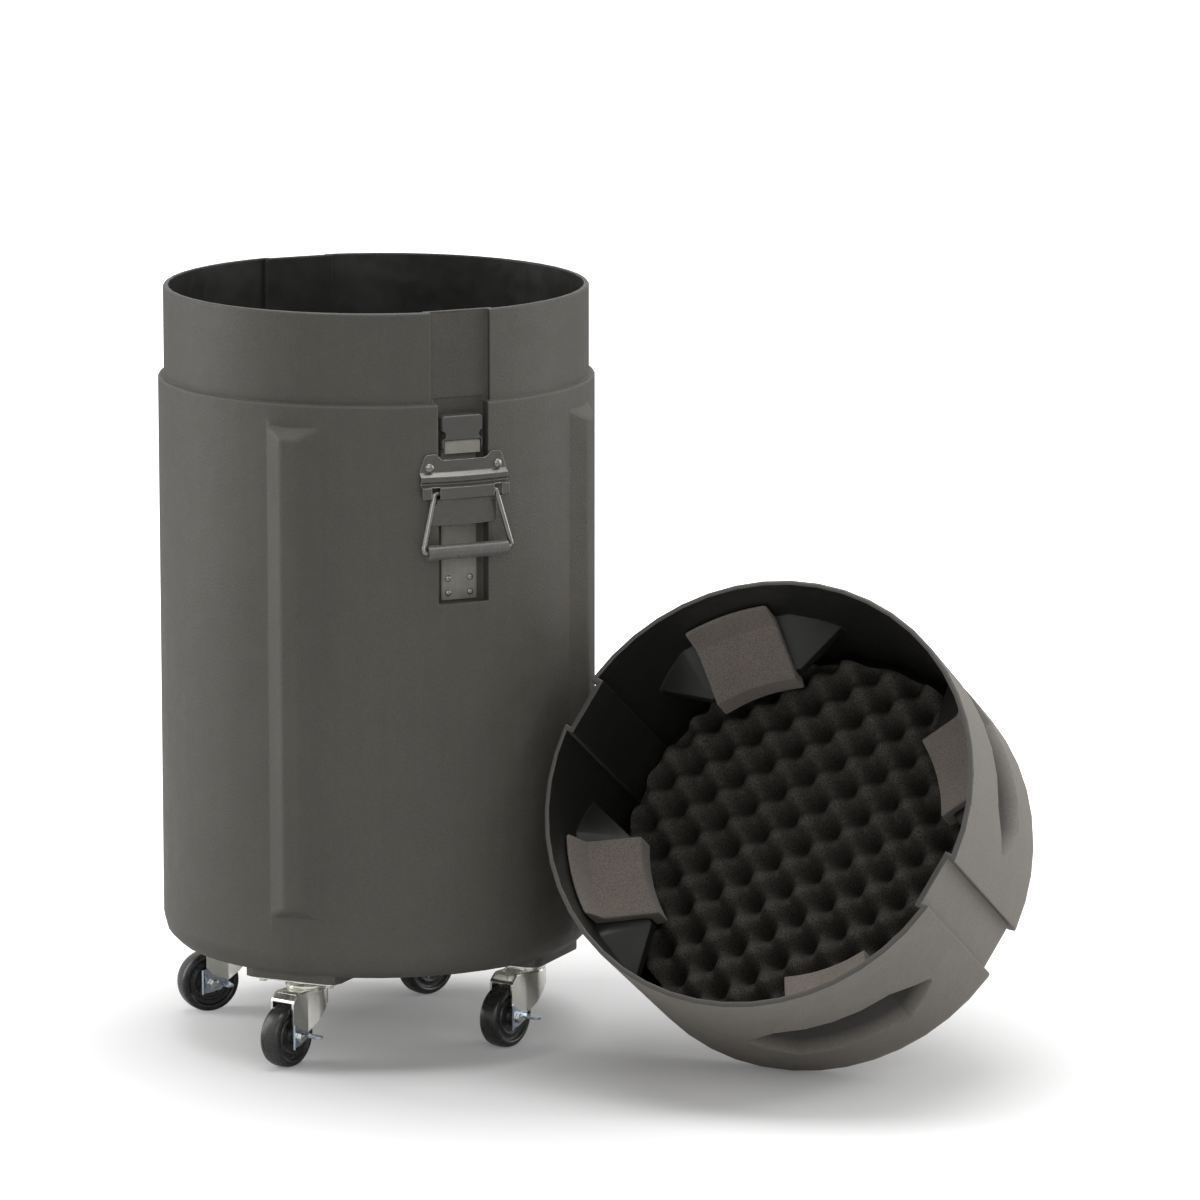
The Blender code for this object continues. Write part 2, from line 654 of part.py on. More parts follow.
def caster_fork():
    """Pressed fork: rounded crown with a skirt behind, two legs and the ball race on top."""
    front = FORK_TRAIL + FORK_NOSE
    skirt = FORK_TOP - FORK_SKIRT
    edge = FORK_GAUGE
    rings = []
    for inset, height in ((0, 0), (0, FORK_TOP - edge), (edge * 0.3, FORK_TOP - edge * 0.3),
                          (edge, FORK_TOP)):
        rings.append([(x, y, height) for x, y in keyhole(inset, front - inset)])
    back = FORK_DOME_RADIUS + SHORT_REACH
    brow_back, brow_down = FORK_BROW
    side = rounded([
        (-back, FORK_TOP + SHORT_REACH), (-back, skirt), (-FORK_SKIRT_REACH, skirt),
        (FORK_TRAIL - FORK_FOOT_RADIUS, AXLE_Z - FORK_FOOT_RADIUS),
        (front, AXLE_Z - FORK_FOOT_RADIUS), (front, FORK_TOP - brow_down),
        (front - brow_back, FORK_TOP), (front - brow_back, FORK_TOP + SHORT_REACH),
    ], [0, 0, FORK_CORNER, FORK_CORNER, FORK_CORNER, FORK_CORNER, 0, 0])
    slab = upright(prism(side, -back, back))
    race = turned([
        (KING_PIN_RADIUS, FORK_CEILING + FORK_GAUGE / 2),
        (RACE_RADIUS - RACE_FOOT, FORK_TOP - FORK_GAUGE / 4),
        (RACE_RADIUS, FORK_TOP + RACE_FOOT), (RACE_RADIUS, RACE_TOP - RACE_EDGE),
        (RACE_RADIUS - RACE_EDGE, RACE_TOP), (KING_PIN_RADIUS, RACE_TOP),
    ], TURNED_SEGMENTS)
    inner = prism(keyhole(FORK_GAUGE, front - FORK_GAUGE), -SHORT_REACH, FORK_CEILING)
    mouth_half = FORK_WIDTH / 2 - FORK_GAUGE
    mouth_top = AXLE_Z + WHEEL_RADIUS + TYRE_CLEARANCE
    mouth = prism(rectangle(2 * CUT_REACH, 2 * mouth_half, (front - CUT_REACH, -mouth_half)),
                  -SHORT_REACH, mouth_top)
    pin_hole = rod(KING_PIN_RADIUS + 2 * HOLE_CLEARANCE, FORK_CEILING - SHORT_REACH,
                   RACE_TOP + SHORT_REACH, TURNED_SEGMENTS)
    axle_hole = upright(rod(AXLE_RADIUS + HOLE_CLEARANCE, -FORK_WIDTH, FORK_WIDTH, HOLE_SIDES))
    shifted(axle_hole, x=FORK_TRAIL, z=AXLE_Z)
    outer = combined(lofted(rings), keep=[slab])
    outer = combined(outer, joins=[race])
    return combined(outer, cuts=[inner, mouth, pin_hole, axle_hole])


def lever_faces():
    """Inner and outer face of the brake lever, outside the fork's left leg."""
    inner = FORK_WIDTH / 2 + GAP
    return inner, inner + LEVER_THICKNESS


def brake_lever():
    """Lever on the axle's end: a hub plate, a curled wing in front and a foot tab behind."""
    inner, outer = lever_faces()
    reach, top, bottom = LEVER_WING
    back, out = LEVER_FOOT
    bend = reach / 2
    tail, nose = -back + SMALL_EDGE, bend + SMALL_EDGE
    web = rounded([(tail, -LEVER_TAIL_HALF), (0, -LEVER_HUB_RADIUS), (nose, bottom), (nose, top),
                   (0, LEVER_HUB_RADIUS), (tail, LEVER_TAIL_HALF)],
                  [SMALL_EDGE, LEVER_ROUND, SMALL_EDGE, SMALL_EDGE, LEVER_ROUND, SMALL_EDGE], 2)
    plate = upright(prism(web, -outer, -inner))
    curl = arc((bend, inner + LEVER_CURL), LEVER_CURL, -pi / 2, -LEVER_CURL_END, 4)
    strip = [(x, y) for x, y in curl] + offset_path(curl, LEVER_THICKNESS)[::-1]
    wing = prism(strip, bottom, top)
    foot_front = -AXLE_NUT[0] - SMALL_EDGE
    foot = prism(rounded(rectangle(back + foot_front, out, (-back, inner)),
                         [0, 0, LEVER_ROUND, LEVER_ROUND], 2),
                 -LEVER_FOOT_THICKNESS / 2, LEVER_FOOT_THICKNESS / 2)
    hole = upright(rod(AXLE_RADIUS + HOLE_CLEARANCE, -outer - SHORT_REACH, -inner + SHORT_REACH,
                       HOLE_SIDES))
    return combined(plate, joins=[wing, foot], cuts=[hole])


def caster_axle():
    """Axle bolt through both legs, its head on the right and its nut over the lever."""
    nut_radius, nut_height = AXLE_NUT
    seat = FORK_WIDTH / 2 + GAP
    nut_seat = lever_faces()[1] + GAP
    bolt = turned([
        (0, -seat - nut_height), (nut_radius, -seat - nut_height), (nut_radius, -seat),
        (AXLE_RADIUS, -seat), (AXLE_RADIUS, nut_seat), (nut_radius, nut_seat),
        (nut_radius, nut_seat + nut_height * HEAD_TAPER),
        (nut_radius * HEAD_TAPER, nut_seat + nut_height),
        (0, nut_seat + nut_height),
    ], BOLT_SIDES)
    bolt.data.transform(Matrix.Rotation(-pi / 2, 4, "X"))
    return bolt


def caster_wheel():
    """Turned wheel with a raised hub, dished cheeks and round shoulders."""
    hub = FORK_WIDTH / 2 - FORK_GAUGE - 2 * GAP
    half = WHEEL_WIDTH / 2
    bore = AXLE_RADIUS + HOLE_CLEARANCE
    shoulder = [(WHEEL_RADIUS - WHEEL_SHOULDER, half), (WHEEL_RADIUS, half - WHEEL_SHOULDER)]
    dish = half - WHEEL_DISH
    rim = WHEEL_RADIUS - WHEEL_SHOULDER - WHEEL_DISH
    cheek = [(bore, hub), (WHEEL_HUB_RADIUS, hub), (WHEEL_HUB_RADIUS, dish),
             (rim - WHEEL_DISH, dish), (rim, half)] + shoulder
    profile = cheek + [(radius, -height) for radius, height in reversed(cheek)]
    wheel = turned(profile, WHEEL_SEGMENTS)
    wheel.data.transform(Matrix.Rotation(-pi / 2, 4, "X"))
    return wheel


def casters(root):
    """Four casters that share their pieces' meshes, each swivelled its own way."""
    shapes = {
        "plate": (caster_plate(), "zinc"),
        "fixing": (caster_fixing(), "steel"),
        "fork": (caster_fork(), "zinc"),
        "axle": (caster_axle(), "steel"),
        "wheel": (caster_wheel(), "wheel_plastic"),
        "brake_lever": (brake_lever(), "blue_zinc"),
    }
    for place, azimuth in CASTER_AZIMUTHS.items():
        centre = (CASTER_CIRCLE * sin(azimuth), -CASTER_CIRCLE * cos(azimuth), 0)

        def add(piece, parent, location, turn):
            shape, material = shapes[piece]
            made = node(f"caster_{place}_{piece}", shape, material, parent, location, turn)
            shapes[piece] = (made.data, material)
            return made

        add("plate", root, centre, azimuth)
        add("fixing", root, centre, azimuth)
        fork = add("fork", root, centre, TRAIL_HEADINGS[place])
        for piece in ("axle", "wheel", "brake_lever"):
            add(piece, fork, (FORK_TRAIL, 0, AXLE_Z), 0)


def handle_plate():
    """Pressed handle plate, bent to the case's curve, with a ridge, a barrel and two wire slots."""
    back = [(GAP, HANDLE_TOP + SMALL_EDGE)]
    back += [(GAP + out, rise) for out, rise in HANDLE_SECTION]
    back += [(GAP, HANDLE_BOTTOM - SMALL_EDGE)]
    section = back + offset_path(back, HANDLE_GAUGE)[::-1]
    half_turn = asin((HANDLE_WIDTH / 2 + SMALL_EDGE) / CASE_RADIUS)
    rings = []
    steps = 6
    for step in range(steps + 1):
        angle = half_turn * (2 * step / steps - 1)
        rings.append([((CASE_RADIUS + out) * sin(angle), -(CASE_RADIUS + out) * cos(angle),
                       PIVOT_Z + rise) for out, rise in section])
    corners = list(HANDLE_OUTLINE) + [(-x, z, bend) for x, z, bend in HANDLE_OUTLINE[::-1]]
    outline = rounded([(x, z) for x, z, _ in corners], [bend for _, _, bend in corners], 2)
    face = upright(prism(outline, CASE_RADIUS - CUT_REACH, CASE_RADIUS + CUT_REACH))
    shifted(face, z=PIVOT_Z)
    slots = []
    width, height = BAIL_SLOT
    middle, foot = BAIL_SLOT_PLACE
    for side in (-1, 1):
        slot = rectangle(width, height, (side * middle - width / 2, PIVOT_Z + foot))
        slots.append(upright(prism(slot, CASE_RADIUS - CUT_REACH, CASE_RADIUS + CUT_REACH)))
        hole = front_rod(RIVET_SHANK + HOLE_CLEARANCE, CASE_RADIUS - CUT_REACH,
                         CASE_RADIUS + CUT_REACH, 0, PIVOT_Z + RIVET_RISE, RIVET_SIDES)
        slots.append(shifted(hole, azimuth=side * rivet_azimuth()))
    return combined(lofted(rings), keep=[face], cuts=[gathered(slots)])


def handle_rivet():
    """Rivet through the handle plate and the case wall, along Y with its head outwards."""
    seat = CASE_RADIUS + GAP + HANDLE_GAUGE + GAP
    tail = (CASE_RADIUS - CASE_WALL) * FACET - GAP
    head_radius, head_height = RIVET_HEAD
    tail_radius, tail_height = RIVET_TAIL
    rivet = turned([
        (0, tail - tail_height), (tail_radius, tail - tail_height), (tail_radius, tail),
        (RIVET_SHANK, tail), (RIVET_SHANK, seat), (head_radius, seat),
        (head_radius * HEAD_TAPER, seat + head_height), (0, seat + head_height),
    ], RIVET_SIDES)
    return upright(rivet)


def bail():
    """Bent wire with its two ends turned in behind the handle plate, about its pivot."""
    path = [(-BAIL_END_X, 0), (-BAIL_EYE_X, 0), (-BAIL_FOOT_X, -BAIL_DROP),
            (BAIL_FOOT_X, -BAIL_DROP), (BAIL_EYE_X, 0), (BAIL_END_X, 0)]
    points = rounded(path, [0, BAIL_WIRE, BAIL_BEND, BAIL_BEND, BAIL_WIRE, 0], 2, closed=False)
    curve = bpy.data.curves.new("bail", "CURVE")
    curve.dimensions = "3D"
    curve.bevel_depth = BAIL_WIRE
    curve.bevel_resolution = 2
    curve.use_fill_caps = True
    spline = curve.splines.new("POLY")
    spline.points.add(len(points) - 1)
    for point, (x, z) in zip(spline.points, points):
        point.co = (x, 0, z, 1)
    wire = bpy.data.objects.new("bail", curve)
    bpy.context.collection.objects.link(wire)
    shape = combined(wire)
    shape.data.transform(Matrix.Rotation(-BAIL_TILT, 4, "X"))
    return shape


def grip():
    """Round grip on the bail's cross wire, in the bail's own frame."""
    half = GRIP_LENGTH / 2
    bore = BAIL_WIRE + HOLE_CLEARANCE
    tube = turned([
        (bore, -half), (GRIP_RADIUS - SMALL_EDGE, -half), (GRIP_RADIUS, -half + SMALL_EDGE),
        (GRIP_RADIUS, half - SMALL_EDGE), (GRIP_RADIUS - SMALL_EDGE, half), (bore, half),
    ], TURNED_SEGMENTS)
    tube.data.transform(Matrix.Rotation(pi / 2, 4, "Y"))
    shifted(tube, z=-BAIL_DROP)
    tube.data.transform(Matrix.Rotation(-BAIL_TILT, 4, "X"))
    return tube


def strap():
    """Webbing on the recess floor, riveted at its lower end."""
    bottom = RECESS_BOTTOM + STRAP_FOOT_GAP
    top = LIP_STEP + STRAP_TOP
    inner = RECESS_FLOOR + GAP
    outline = rectangle(STRAP_WIDTH, top - bottom, (-STRAP_WIDTH / 2, bottom))
    web = upright(prism(outline, inner, inner + WEB_THICKNESS))
    holes = [front_rod(STRAP_RIVET[0] + HOLE_CLEARANCE, inner - SHORT_REACH,
                       inner + SHORT_REACH, side * STRAP_RIVET_X, RECESS_BOTTOM + rise, BOLT_SIDES)
             for side in (-1, 1) for rise in STRAP_RIVET_RISES]
    return combined(web, cuts=[gathered(holes)])


def strap_rivets():
    """Four rivets on the backing strip inside the case."""
    width, height, thickness = BACKING_STRIP
    shank, head, head_height = STRAP_RIVET
    centre = RECESS_BOTTOM + sum(STRAP_RIVET_RISES) / 2
    outer = RECESS_FLOOR - CASE_WALL - GAP
    outline = rectangle(width, height, (-width / 2, centre - height / 2))
    strip = upright(prism(outline, outer - thickness, outer))
    seat = RECESS_FLOOR + GAP + WEB_THICKNESS + GAP
    rivets = []
    for side in (-1, 1):
        for rise in STRAP_RIVET_RISES:
            rivet = upright(turned([
                (0, outer - thickness / 2), (shank, outer - thickness / 2), (shank, seat),
                (head, seat), (0, seat + head_height),
            ], BOLT_SIDES))
            rivets.append(shifted(rivet, x=side * STRAP_RIVET_X, z=RECESS_BOTTOM + rise))
    return combined(strip, joins=[gathered(rivets)])


def buckle_hinge():
    """The buckle's hinge, on the strap's outer face where it ends: distance out, and height."""
    return RECESS_FLOOR + GAP + WEB_THICKNESS, LIP_STEP + STRAP_TOP


def buckle_layers():
    """Distances from the hinge out to the buckle's back, bar and front."""
    back = RECESS_FLOOR + BUCKLE_LIFT - buckle_hinge()[0]
    bar = back + WEB_THICKNESS + 2 * GAP
    return back, bar, back + BUCKLE_DEPTH - WEB_THICKNESS - 2 * GAP, back + BUCKLE_DEPTH


def buckle():
    """Female half of a side-release buckle, about its hinge: bar, slot, mouth and side notches."""
    back, bar_back, bar_front, front = buckle_layers()
    bottom = BUCKLE_BOTTOM - STRAP_TOP
    slot_low = bottom + BUCKLE_BAR
    mouth_low = slot_low + BUCKLE_SLOT + BUCKLE_FLOOR
    top = bottom + BUCKLE_HEIGHT
    outline = rounded(rectangle(BUCKLE_WIDTH, BUCKLE_HEIGHT, (-BUCKLE_WIDTH / 2, bottom)),
                      BUCKLE_CORNER)
    block = upright(prism(outline, back, front, BUCKLE_EDGE))
    half = BUCKLE_SLOT_WIDTH / 2
    behind_all, before_all = back - SHORT_REACH, front + SHORT_REACH
    slot = upright(prism(rectangle(2 * half, BUCKLE_SLOT, (-half, slot_low)), behind_all,
                         before_all))
    thin = rectangle(2 * half, SHORT_REACH + BUCKLE_BAR + BUCKLE_SLOT / 2,
                     (-half, bottom - SHORT_REACH))
    behind = upright(prism(thin, behind_all, bar_back))
    before = upright(prism(thin, bar_front, before_all))
    mouth_width, mouth_depth = BUCKLE_MOUTH
    middle = (back + front) / 2
    opening = rectangle(mouth_width, top - mouth_low + SHORT_REACH, (-mouth_width / 2, mouth_low))
    mouth = upright(prism(opening, middle - mouth_depth / 2, middle + mouth_depth / 2))
    radius, rise = BUCKLE_NOTCH
    notches = [front_rod(radius, behind_all, before_all, side * BUCKLE_WIDTH / 2,
                         mouth_low + rise, RIVET_SIDES) for side in (-1, 1)]
    return combined(block, cuts=[slot, behind, before, mouth, gathered(notches)])


def buckle_web():
    """Loop of webbing over the buckle's bar, in the buckle's own frame."""
    _, bar_back, bar_front, _ = buckle_layers()
    foot = GAP
    crest = BUCKLE_BOTTOM - STRAP_TOP + BUCKLE_BAR + GAP
    inside = rounded([(bar_front + GAP, foot), (bar_front + GAP, crest), (bar_back - GAP, crest),
                      (bar_back - GAP, foot)], [0, SMALL_EDGE, SMALL_EDGE, 0], 2, closed=False)
    section = inside + offset_path(inside, -WEB_THICKNESS)[::-1]
    outline = [(-out, z) for out, z in section]
    half = STRAP_WIDTH / 2
    return along_x(prism(outline, -half, half))


def latches(root):
    """Two opposite latches, each with a drop handle and a strap that ends in a buckle."""
    shapes = {
        "handle_plate": (handle_plate(), "handle_metal"),
        "handle_rivet": (handle_rivet(), "steel"),
        "bail": (bail(), "handle_metal"),
        "grip": (grip(), "grip_plastic"),
        "strap": (strap(), "webbing"),
        "strap_rivets": (strap_rivets(), "steel"),
        "buckle": (buckle(), "buckle_plastic"),
        "buckle_web": (buckle_web(), "webbing"),
    }
    for place, azimuth in LATCH_AZIMUTHS.items():
        def add(piece, parent, location=(0, 0, 0), turn=0, side=""):
            shape, material = shapes[piece]
            made = node(f"{place}_{piece}{side}", shape, material, parent, location, turn)
            shapes[piece] = (made.data, material)
            return made

        def outwards(distance, height):
            return distance * sin(azimuth), -distance * cos(azimuth), height

        add("handle_plate", root, turn=azimuth)
        for side, sign in (("_left", -1), ("_right", 1)):
            add("handle_rivet", root, (0, 0, PIVOT_Z + RIVET_RISE),
                azimuth + sign * rivet_azimuth(), side)
        wire = add("bail", root, outwards(CASE_RADIUS + BAIL_STAND_OFF, PIVOT_Z), azimuth)
        add("grip", wire)
        add("strap", root, turn=azimuth)
        add("strap_rivets", root, turn=azimuth)
        body = add("buckle", root, outwards(*buckle_hinge()), azimuth)
        add("buckle_web", body)


def channel_cutter(grow):
    """Everything outside the strap channel's floor, over both sides and the end, grown by grow."""
    floor = LID_RADIUS - CHANNEL_DEPTH - grow
    end = LID_DEPTH - CHANNEL_END_DEPTH - grow
    far = LID_RADIUS + CUT_REACH
    top = LID_DEPTH + CUT_REACH
    bend = CHANNEL_ROUND - grow
    outline = rounded([
        (-far, -CUT_REACH), (-floor, -CUT_REACH), (-floor, end), (floor, end),
        (floor, -CUT_REACH), (far, -CUT_REACH), (far, top), (-far, top),
    ], [0, 0, bend, bend, 0, 0, 0, 0], EDGE_STEPS)
    half = CHANNEL_WIDTH / 2 + grow
    return along_x(prism(outline, -half, half))


def pocket_path():
    """Section through a hand pocket as (radius, depth), from its rim side to its far side."""
    skin = LID_RADIUS + EDGE_CHAMFER
    return [(skin, POCKET_START), (POCKET_NOSE_RADIUS, POCKET_NOSE_START),
            (POCKET_NOSE_RADIUS, POCKET_NOSE_END), (skin, POCKET_END)]


def pocket_cutter(grow):
    """Hand pocket on the front of the lid, lofted round from end to end and grown by grow."""
    path = pocket_path()
    skin = path[0][0]
    closing = [(LID_RADIUS + CUT_REACH, path[-1][1]), (LID_RADIUS + CUT_REACH, path[0][1])]
    full = path + closing
    flat = [(skin, depth) for _, depth in path] + closing
    steps = 4
    stations = [(POCKET_NOSE_SPAN * (2 * step / steps - 1), full) for step in range(steps + 1)]
    stations = [(-POCKET_SPAN, flat)] + stations + [(POCKET_SPAN, flat)]
    pocket = lofted([[(radius * sin(angle), -radius * cos(angle), depth) for radius, depth in ring]
                     for angle, ring in stations])
    return grown(pocket, grow)


def quarter_turns():
    return [pi / 4 + quarter * pi / 2 for quarter in range(4)]


def lid_shell(lid):
    """Moulded lid: strap channels down two sides and over the end, and four hand pockets."""
    outer = shell_profile(LID_RADIUS, 0, LID_EDGE_RADIUS, LID_DEPTH - EDGE_CHAMFER)
    outer += [(LID_RADIUS - EDGE_CHAMFER, LID_DEPTH), (0, LID_DEPTH)]
    outer = [(radius, LID_DEPTH - height) for radius, height in outer]
    inner_radius = LID_RADIUS - LID_WALL
    inner = shell_profile(inner_radius, LID_WALL, LID_EDGE_RADIUS - LID_WALL,
                          LID_DEPTH + CUT_REACH) + [(0, LID_DEPTH + CUT_REACH)]
    inner = [(radius, LID_DEPTH - height) for radius, height in inner]
    backs = around(lambda: pocket_cutter(LID_WALL), quarter_turns())
    cavity = combined(turned(inner, SHELL_SEGMENTS), cuts=backs + [channel_cutter(LID_WALL)])
    solid = combined(turned(outer, SHELL_SEGMENTS),
                     cuts=[channel_cutter(0)] + around(lambda: pocket_cutter(0), quarter_turns()))
    node("lid_shell", combined(solid, cuts=[cavity]), "lid_plastic", lid)


def lid_foam(lid):
    """Block of foam that fills the closed end."""
    inwards, up = LID_FOAM_CHAMFER
    disc = turned([(0, LID_FOAM_FLOOR), (LID_FOAM_RADIUS - inwards, LID_FOAM_FLOOR),
                   (LID_FOAM_RADIUS, LID_FOAM_FLOOR - up), (LID_FOAM_RADIUS, LID_FOAM_TOP),
                   (0, LID_FOAM_TOP)], FOAM_SEGMENTS)
    node("lid_foam", disc, "dark_foam", lid)


def lid_pad():
    """Foam pad bent from the lid's wall over a hand pocket's nose."""
    wall = (LID_RADIUS - LID_WALL) * FACET
    skin = offset_path(pocket_path(), LID_WALL)
    start, nose = Vector(skin[0]), Vector(skin[1])
    bend_depth = start.y + (nose.y - start.y) * (start.x - wall) / (start.x - nose.x)
    nose_radius = nose.x * cos(POCKET_NOSE_SPAN / 4)
    back = offset_path([(wall, PAD_START), (wall, bend_depth), (nose_radius, nose.y),
                        (nose_radius, PAD_END)], PAD_CLEARANCE)
    section = back + offset_path(back, PAD_THICKNESS)[::-1]
    rings = []
    steps = 6
    for step in range(steps + 1):
        x = PAD_WIDTH * (step / steps - 0.5)
        rings.append([(x, -sqrt(radius ** 2 - x ** 2), depth) for radius, depth in section])
    return lofted(rings)


def case_outline(x, y):
    """Radius of the case in plan, ribs included, in the direction of a point."""
    half_turn = Vector((x, y)).angle(Vector((1, -1)))
    crown = CASE_RADIUS + RIB_HEIGHT
    side = RIB_HEIGHT / ((RIB_WIDTH - RIB_CROWN) / 2)
    on_crown = crown / cos(half_turn)
    on_side = (crown + side * RIB_CROWN / 2) / (cos(half_turn) + side * sin(half_turn))
    return max(CASE_RADIUS, min(on_crown, on_side))


def lid_matrix():
    """Pose of the lid: its closed end down, standing on its edge and leaning on a rib."""
    turn = (Matrix.Rotation(LID_HEADING, 4, "Z") @ Matrix.Rotation(pi / 2 + LID_TILT, 4, "Y")
            @ Matrix.Rotation(LID_ROLL, 4, "Z"))
    flat_radius = LID_RADIUS - LID_EDGE_RADIUS
    height = ((LID_DEPTH - LID_EDGE_RADIUS) * sin(LID_TILT) + flat_radius * cos(LID_TILT)
              + LID_EDGE_RADIUS + GAP)
    samples = [turn @ Vector((LID_RADIUS * cos(angle), LID_RADIUS * sin(angle), depth))
               for angle in (radians(degree) for degree in range(0, 360, 2))
               for depth in (LID_DEPTH * step / 12 for step in range(11))]

    def placed(distance):
        centre = Vector((distance * cos(LID_BEARING), distance * sin(LID_BEARING), height))
        return centre, min(hypot(*(centre + point).xy) - case_outline(*(centre + point).xy)
                           for point in samples)

    near, far = CASE_RADIUS, 2 * CASE_RADIUS + 2 * LID_RADIUS
    for _ in range(30):
        middle = (near + far) / 2
        if placed(middle)[1] > LEAN_GAP:
            far = middle
        else:
            near = middle
    return Matrix.Translation(placed(far)[0]) @ turn


def lid(root):
    """The lid with its foam and four pads, under one empty that holds its pose."""
    pose = empty("lid_pose", root, lid_matrix())
    lid_shell(pose)
    lid_foam(pose)
    shape = lid_pad()
    for number, azimuth in enumerate(quarter_turns(), 1):
        shape = node(f"lid_pad_{number}", shape, "pad_foam", pose, turn=azimuth).data


def centre_on_origin(root):
    """Shift the assembly so that the middle of its footprint is at the origin."""
    bpy.context.view_layer.update()
    corners = [item.matrix_world @ vertex.co for item in bpy.data.objects if item.type == "MESH"
               for vertex in item.data.vertices]
    for axis in (0, 1):
        values = [corner[axis] for corner in corners]
        root.location[axis] = -(min(values) + max(values)) / 2
    root.location[2] = -min(corner.z for corner in corners)
    bpy.context.view_layer.update()


def main():
    clear_scene()
    root = empty("case_origin")
    body_shell(root)
    floor_foam(root)
    casters(root)
    latches(root)
    lid(root)
    centre_on_origin(root)


main()
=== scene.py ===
"""Finishes for a wheeled conga case whose lid leans beside it, and the pieces made afresh for it.

Metres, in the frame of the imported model. The front latch faces -Y and the floor is at Z = 0.
The lid's own frame has its rim at 0 and its closed end up +Z.
"""
import json
from math import ceil, cos, hypot, pi, radians, sin

import bmesh
import bpy
from bpy.props import FloatProperty, FloatVectorProperty, PointerProperty
from mathutils import Matrix, Vector, noise


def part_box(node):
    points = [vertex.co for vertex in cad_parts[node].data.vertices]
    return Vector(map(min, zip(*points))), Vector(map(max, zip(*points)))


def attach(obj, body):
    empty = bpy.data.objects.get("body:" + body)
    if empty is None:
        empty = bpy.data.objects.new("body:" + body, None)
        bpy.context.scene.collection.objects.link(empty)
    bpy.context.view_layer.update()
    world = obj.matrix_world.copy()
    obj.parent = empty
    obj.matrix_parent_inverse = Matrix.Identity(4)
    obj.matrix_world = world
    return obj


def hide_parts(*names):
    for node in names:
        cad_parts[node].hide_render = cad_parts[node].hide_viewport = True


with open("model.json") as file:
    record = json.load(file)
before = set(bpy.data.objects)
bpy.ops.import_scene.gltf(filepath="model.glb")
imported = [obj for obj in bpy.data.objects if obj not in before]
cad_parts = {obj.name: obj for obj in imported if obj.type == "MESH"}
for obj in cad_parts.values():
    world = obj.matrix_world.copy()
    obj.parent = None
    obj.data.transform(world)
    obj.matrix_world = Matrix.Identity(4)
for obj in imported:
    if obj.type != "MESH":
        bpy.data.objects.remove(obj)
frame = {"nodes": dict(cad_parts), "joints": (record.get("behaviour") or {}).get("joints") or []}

bl_info = {
    "name": "Wheeled conga case",
    "version": (1, 0, 0),
    "blender": (4, 5, 0),
    "location": "View3D > Sidebar > Conga case",
    "description": "Finishes, foam, webbing, wheels and studio for a wheeled conga case",
    "category": "Object",
}

PLACES = ("front_left", "front_right", "back_right", "back_left")
SIDES = ("front", "back")
HANDS = ("left", "right")
IMAGE_WIDTH = 1200              # pixels of the framing that the lens length is worked out for
SENSOR = 36.0                   # millimetres
CASE_RIM = 0.7833               # height of the case's rim
SELVEDGE = (0.0172, 0.0180)     # from the webbing's middle, where its heavier threads start
PATTERN = (0.3, 0.7)            # between these lies nearly all of a noise pattern
EDGE_TURN = (0.02, 0.22)        # turn of the rounded normal where rubbing starts and is full
JOIN = 0.000004                 # points of a CAD mesh closer than this are one

# Where a recess gets painted shade: distances from the axis, heights, and how squarely a spot may
# face outwards without being shaded, which spares the lid's strap channels.
POCKET_PAINTED_SHADE = (0.2245, 0.2115, -0.01, 0.215, 0.975)
LATCH_PAINTED_SHADE = (0.214, 0.205, 0.4, 0.9, 2.0)

# The leaning lid: rolled about its own axis, tipped over, then turned to its bearing.
LID_TURN = (Matrix.Rotation(radians(43.2), 4, "Z") @ Matrix.Rotation(radians(120.4), 4, "Y")
            @ Matrix.Rotation(radians(20.5), 4, "Z"))


def srgb(red, green, blue):
    """Linear colour of a screen colour from 0 to 255."""
    def linear(value):
        share = value / 255
        return share / 12.92 if share <= 0.04045 else ((share + 0.055) / 1.055) ** 2.4
    return (linear(red), linear(green), linear(blue))


def colour(name, description, red, green, blue):
    return FloatVectorProperty(name=name, description=description, subtype="COLOR", size=3,
                               min=0, max=1, default=srgb(red, green, blue))


def length(name, description, default, low=0.0, high=10.0):
    return FloatProperty(name=name, description=description, default=default, min=low, max=high,
                         unit="LENGTH", precision=5)


def angle(name, description, degrees):
    return FloatProperty(name=name, description=description, default=radians(degrees),
                         subtype="ANGLE")


def amount(name, description, default, high=1.0):
    return FloatProperty(name=name, description=description, default=default, min=0, max=high)


class ShellSettings(bpy.types.PropertyGroup):
    case: colour("Case", "Moulded case outside", 84, 81, 75)
    # Lighter than the case's plastic: painted light on the lid's outside.
    lid: colour("Lid", "Moulded lid outside", 126, 121, 114)
    # A dark copy of the moulding's colour: painted shade on the inner faces and, by rim shade, on
    # the rims.
    inside: colour("Inside", "Smooth inner faces of both mouldings", 36, 36, 34)
    # Paler edges within the rounding: rubbed wear and painted highlight.
    edge_lift: amount("Edge lift", "How much paler the rubbed edges are", 0.12)
    grain: length("Grain", "Size of the leather grain's cells", 0.0017, 0.0004, 0.01)
    grain_depth: length("Grain depth", "Height of the grain", 0.00036, 0, 0.002)
    edge_round: length("Edge rounding", "Rounding of the mouldings' edges", 0.0028, 0.0001, 0.006)
    roughness: amount("Roughness", "Of the outside", 0.56)
    inner_roughness: amount("Inner roughness", "Of the inner faces", 0.38)
    # Pocket and latch shade are painted shade in the recesses; rim shade paints the rims towards
    # the inside colour as painted shade.
    pocket_shade: amount("Pocket shade", "How much darker the lid's hand pockets are", 0.78)
    latch_shade: amount("Latch shade", "How much darker the latch recesses are", 0.4)
    rim_shade: amount("Rim shade", "How close the rims come to the inner colour", 0.7)


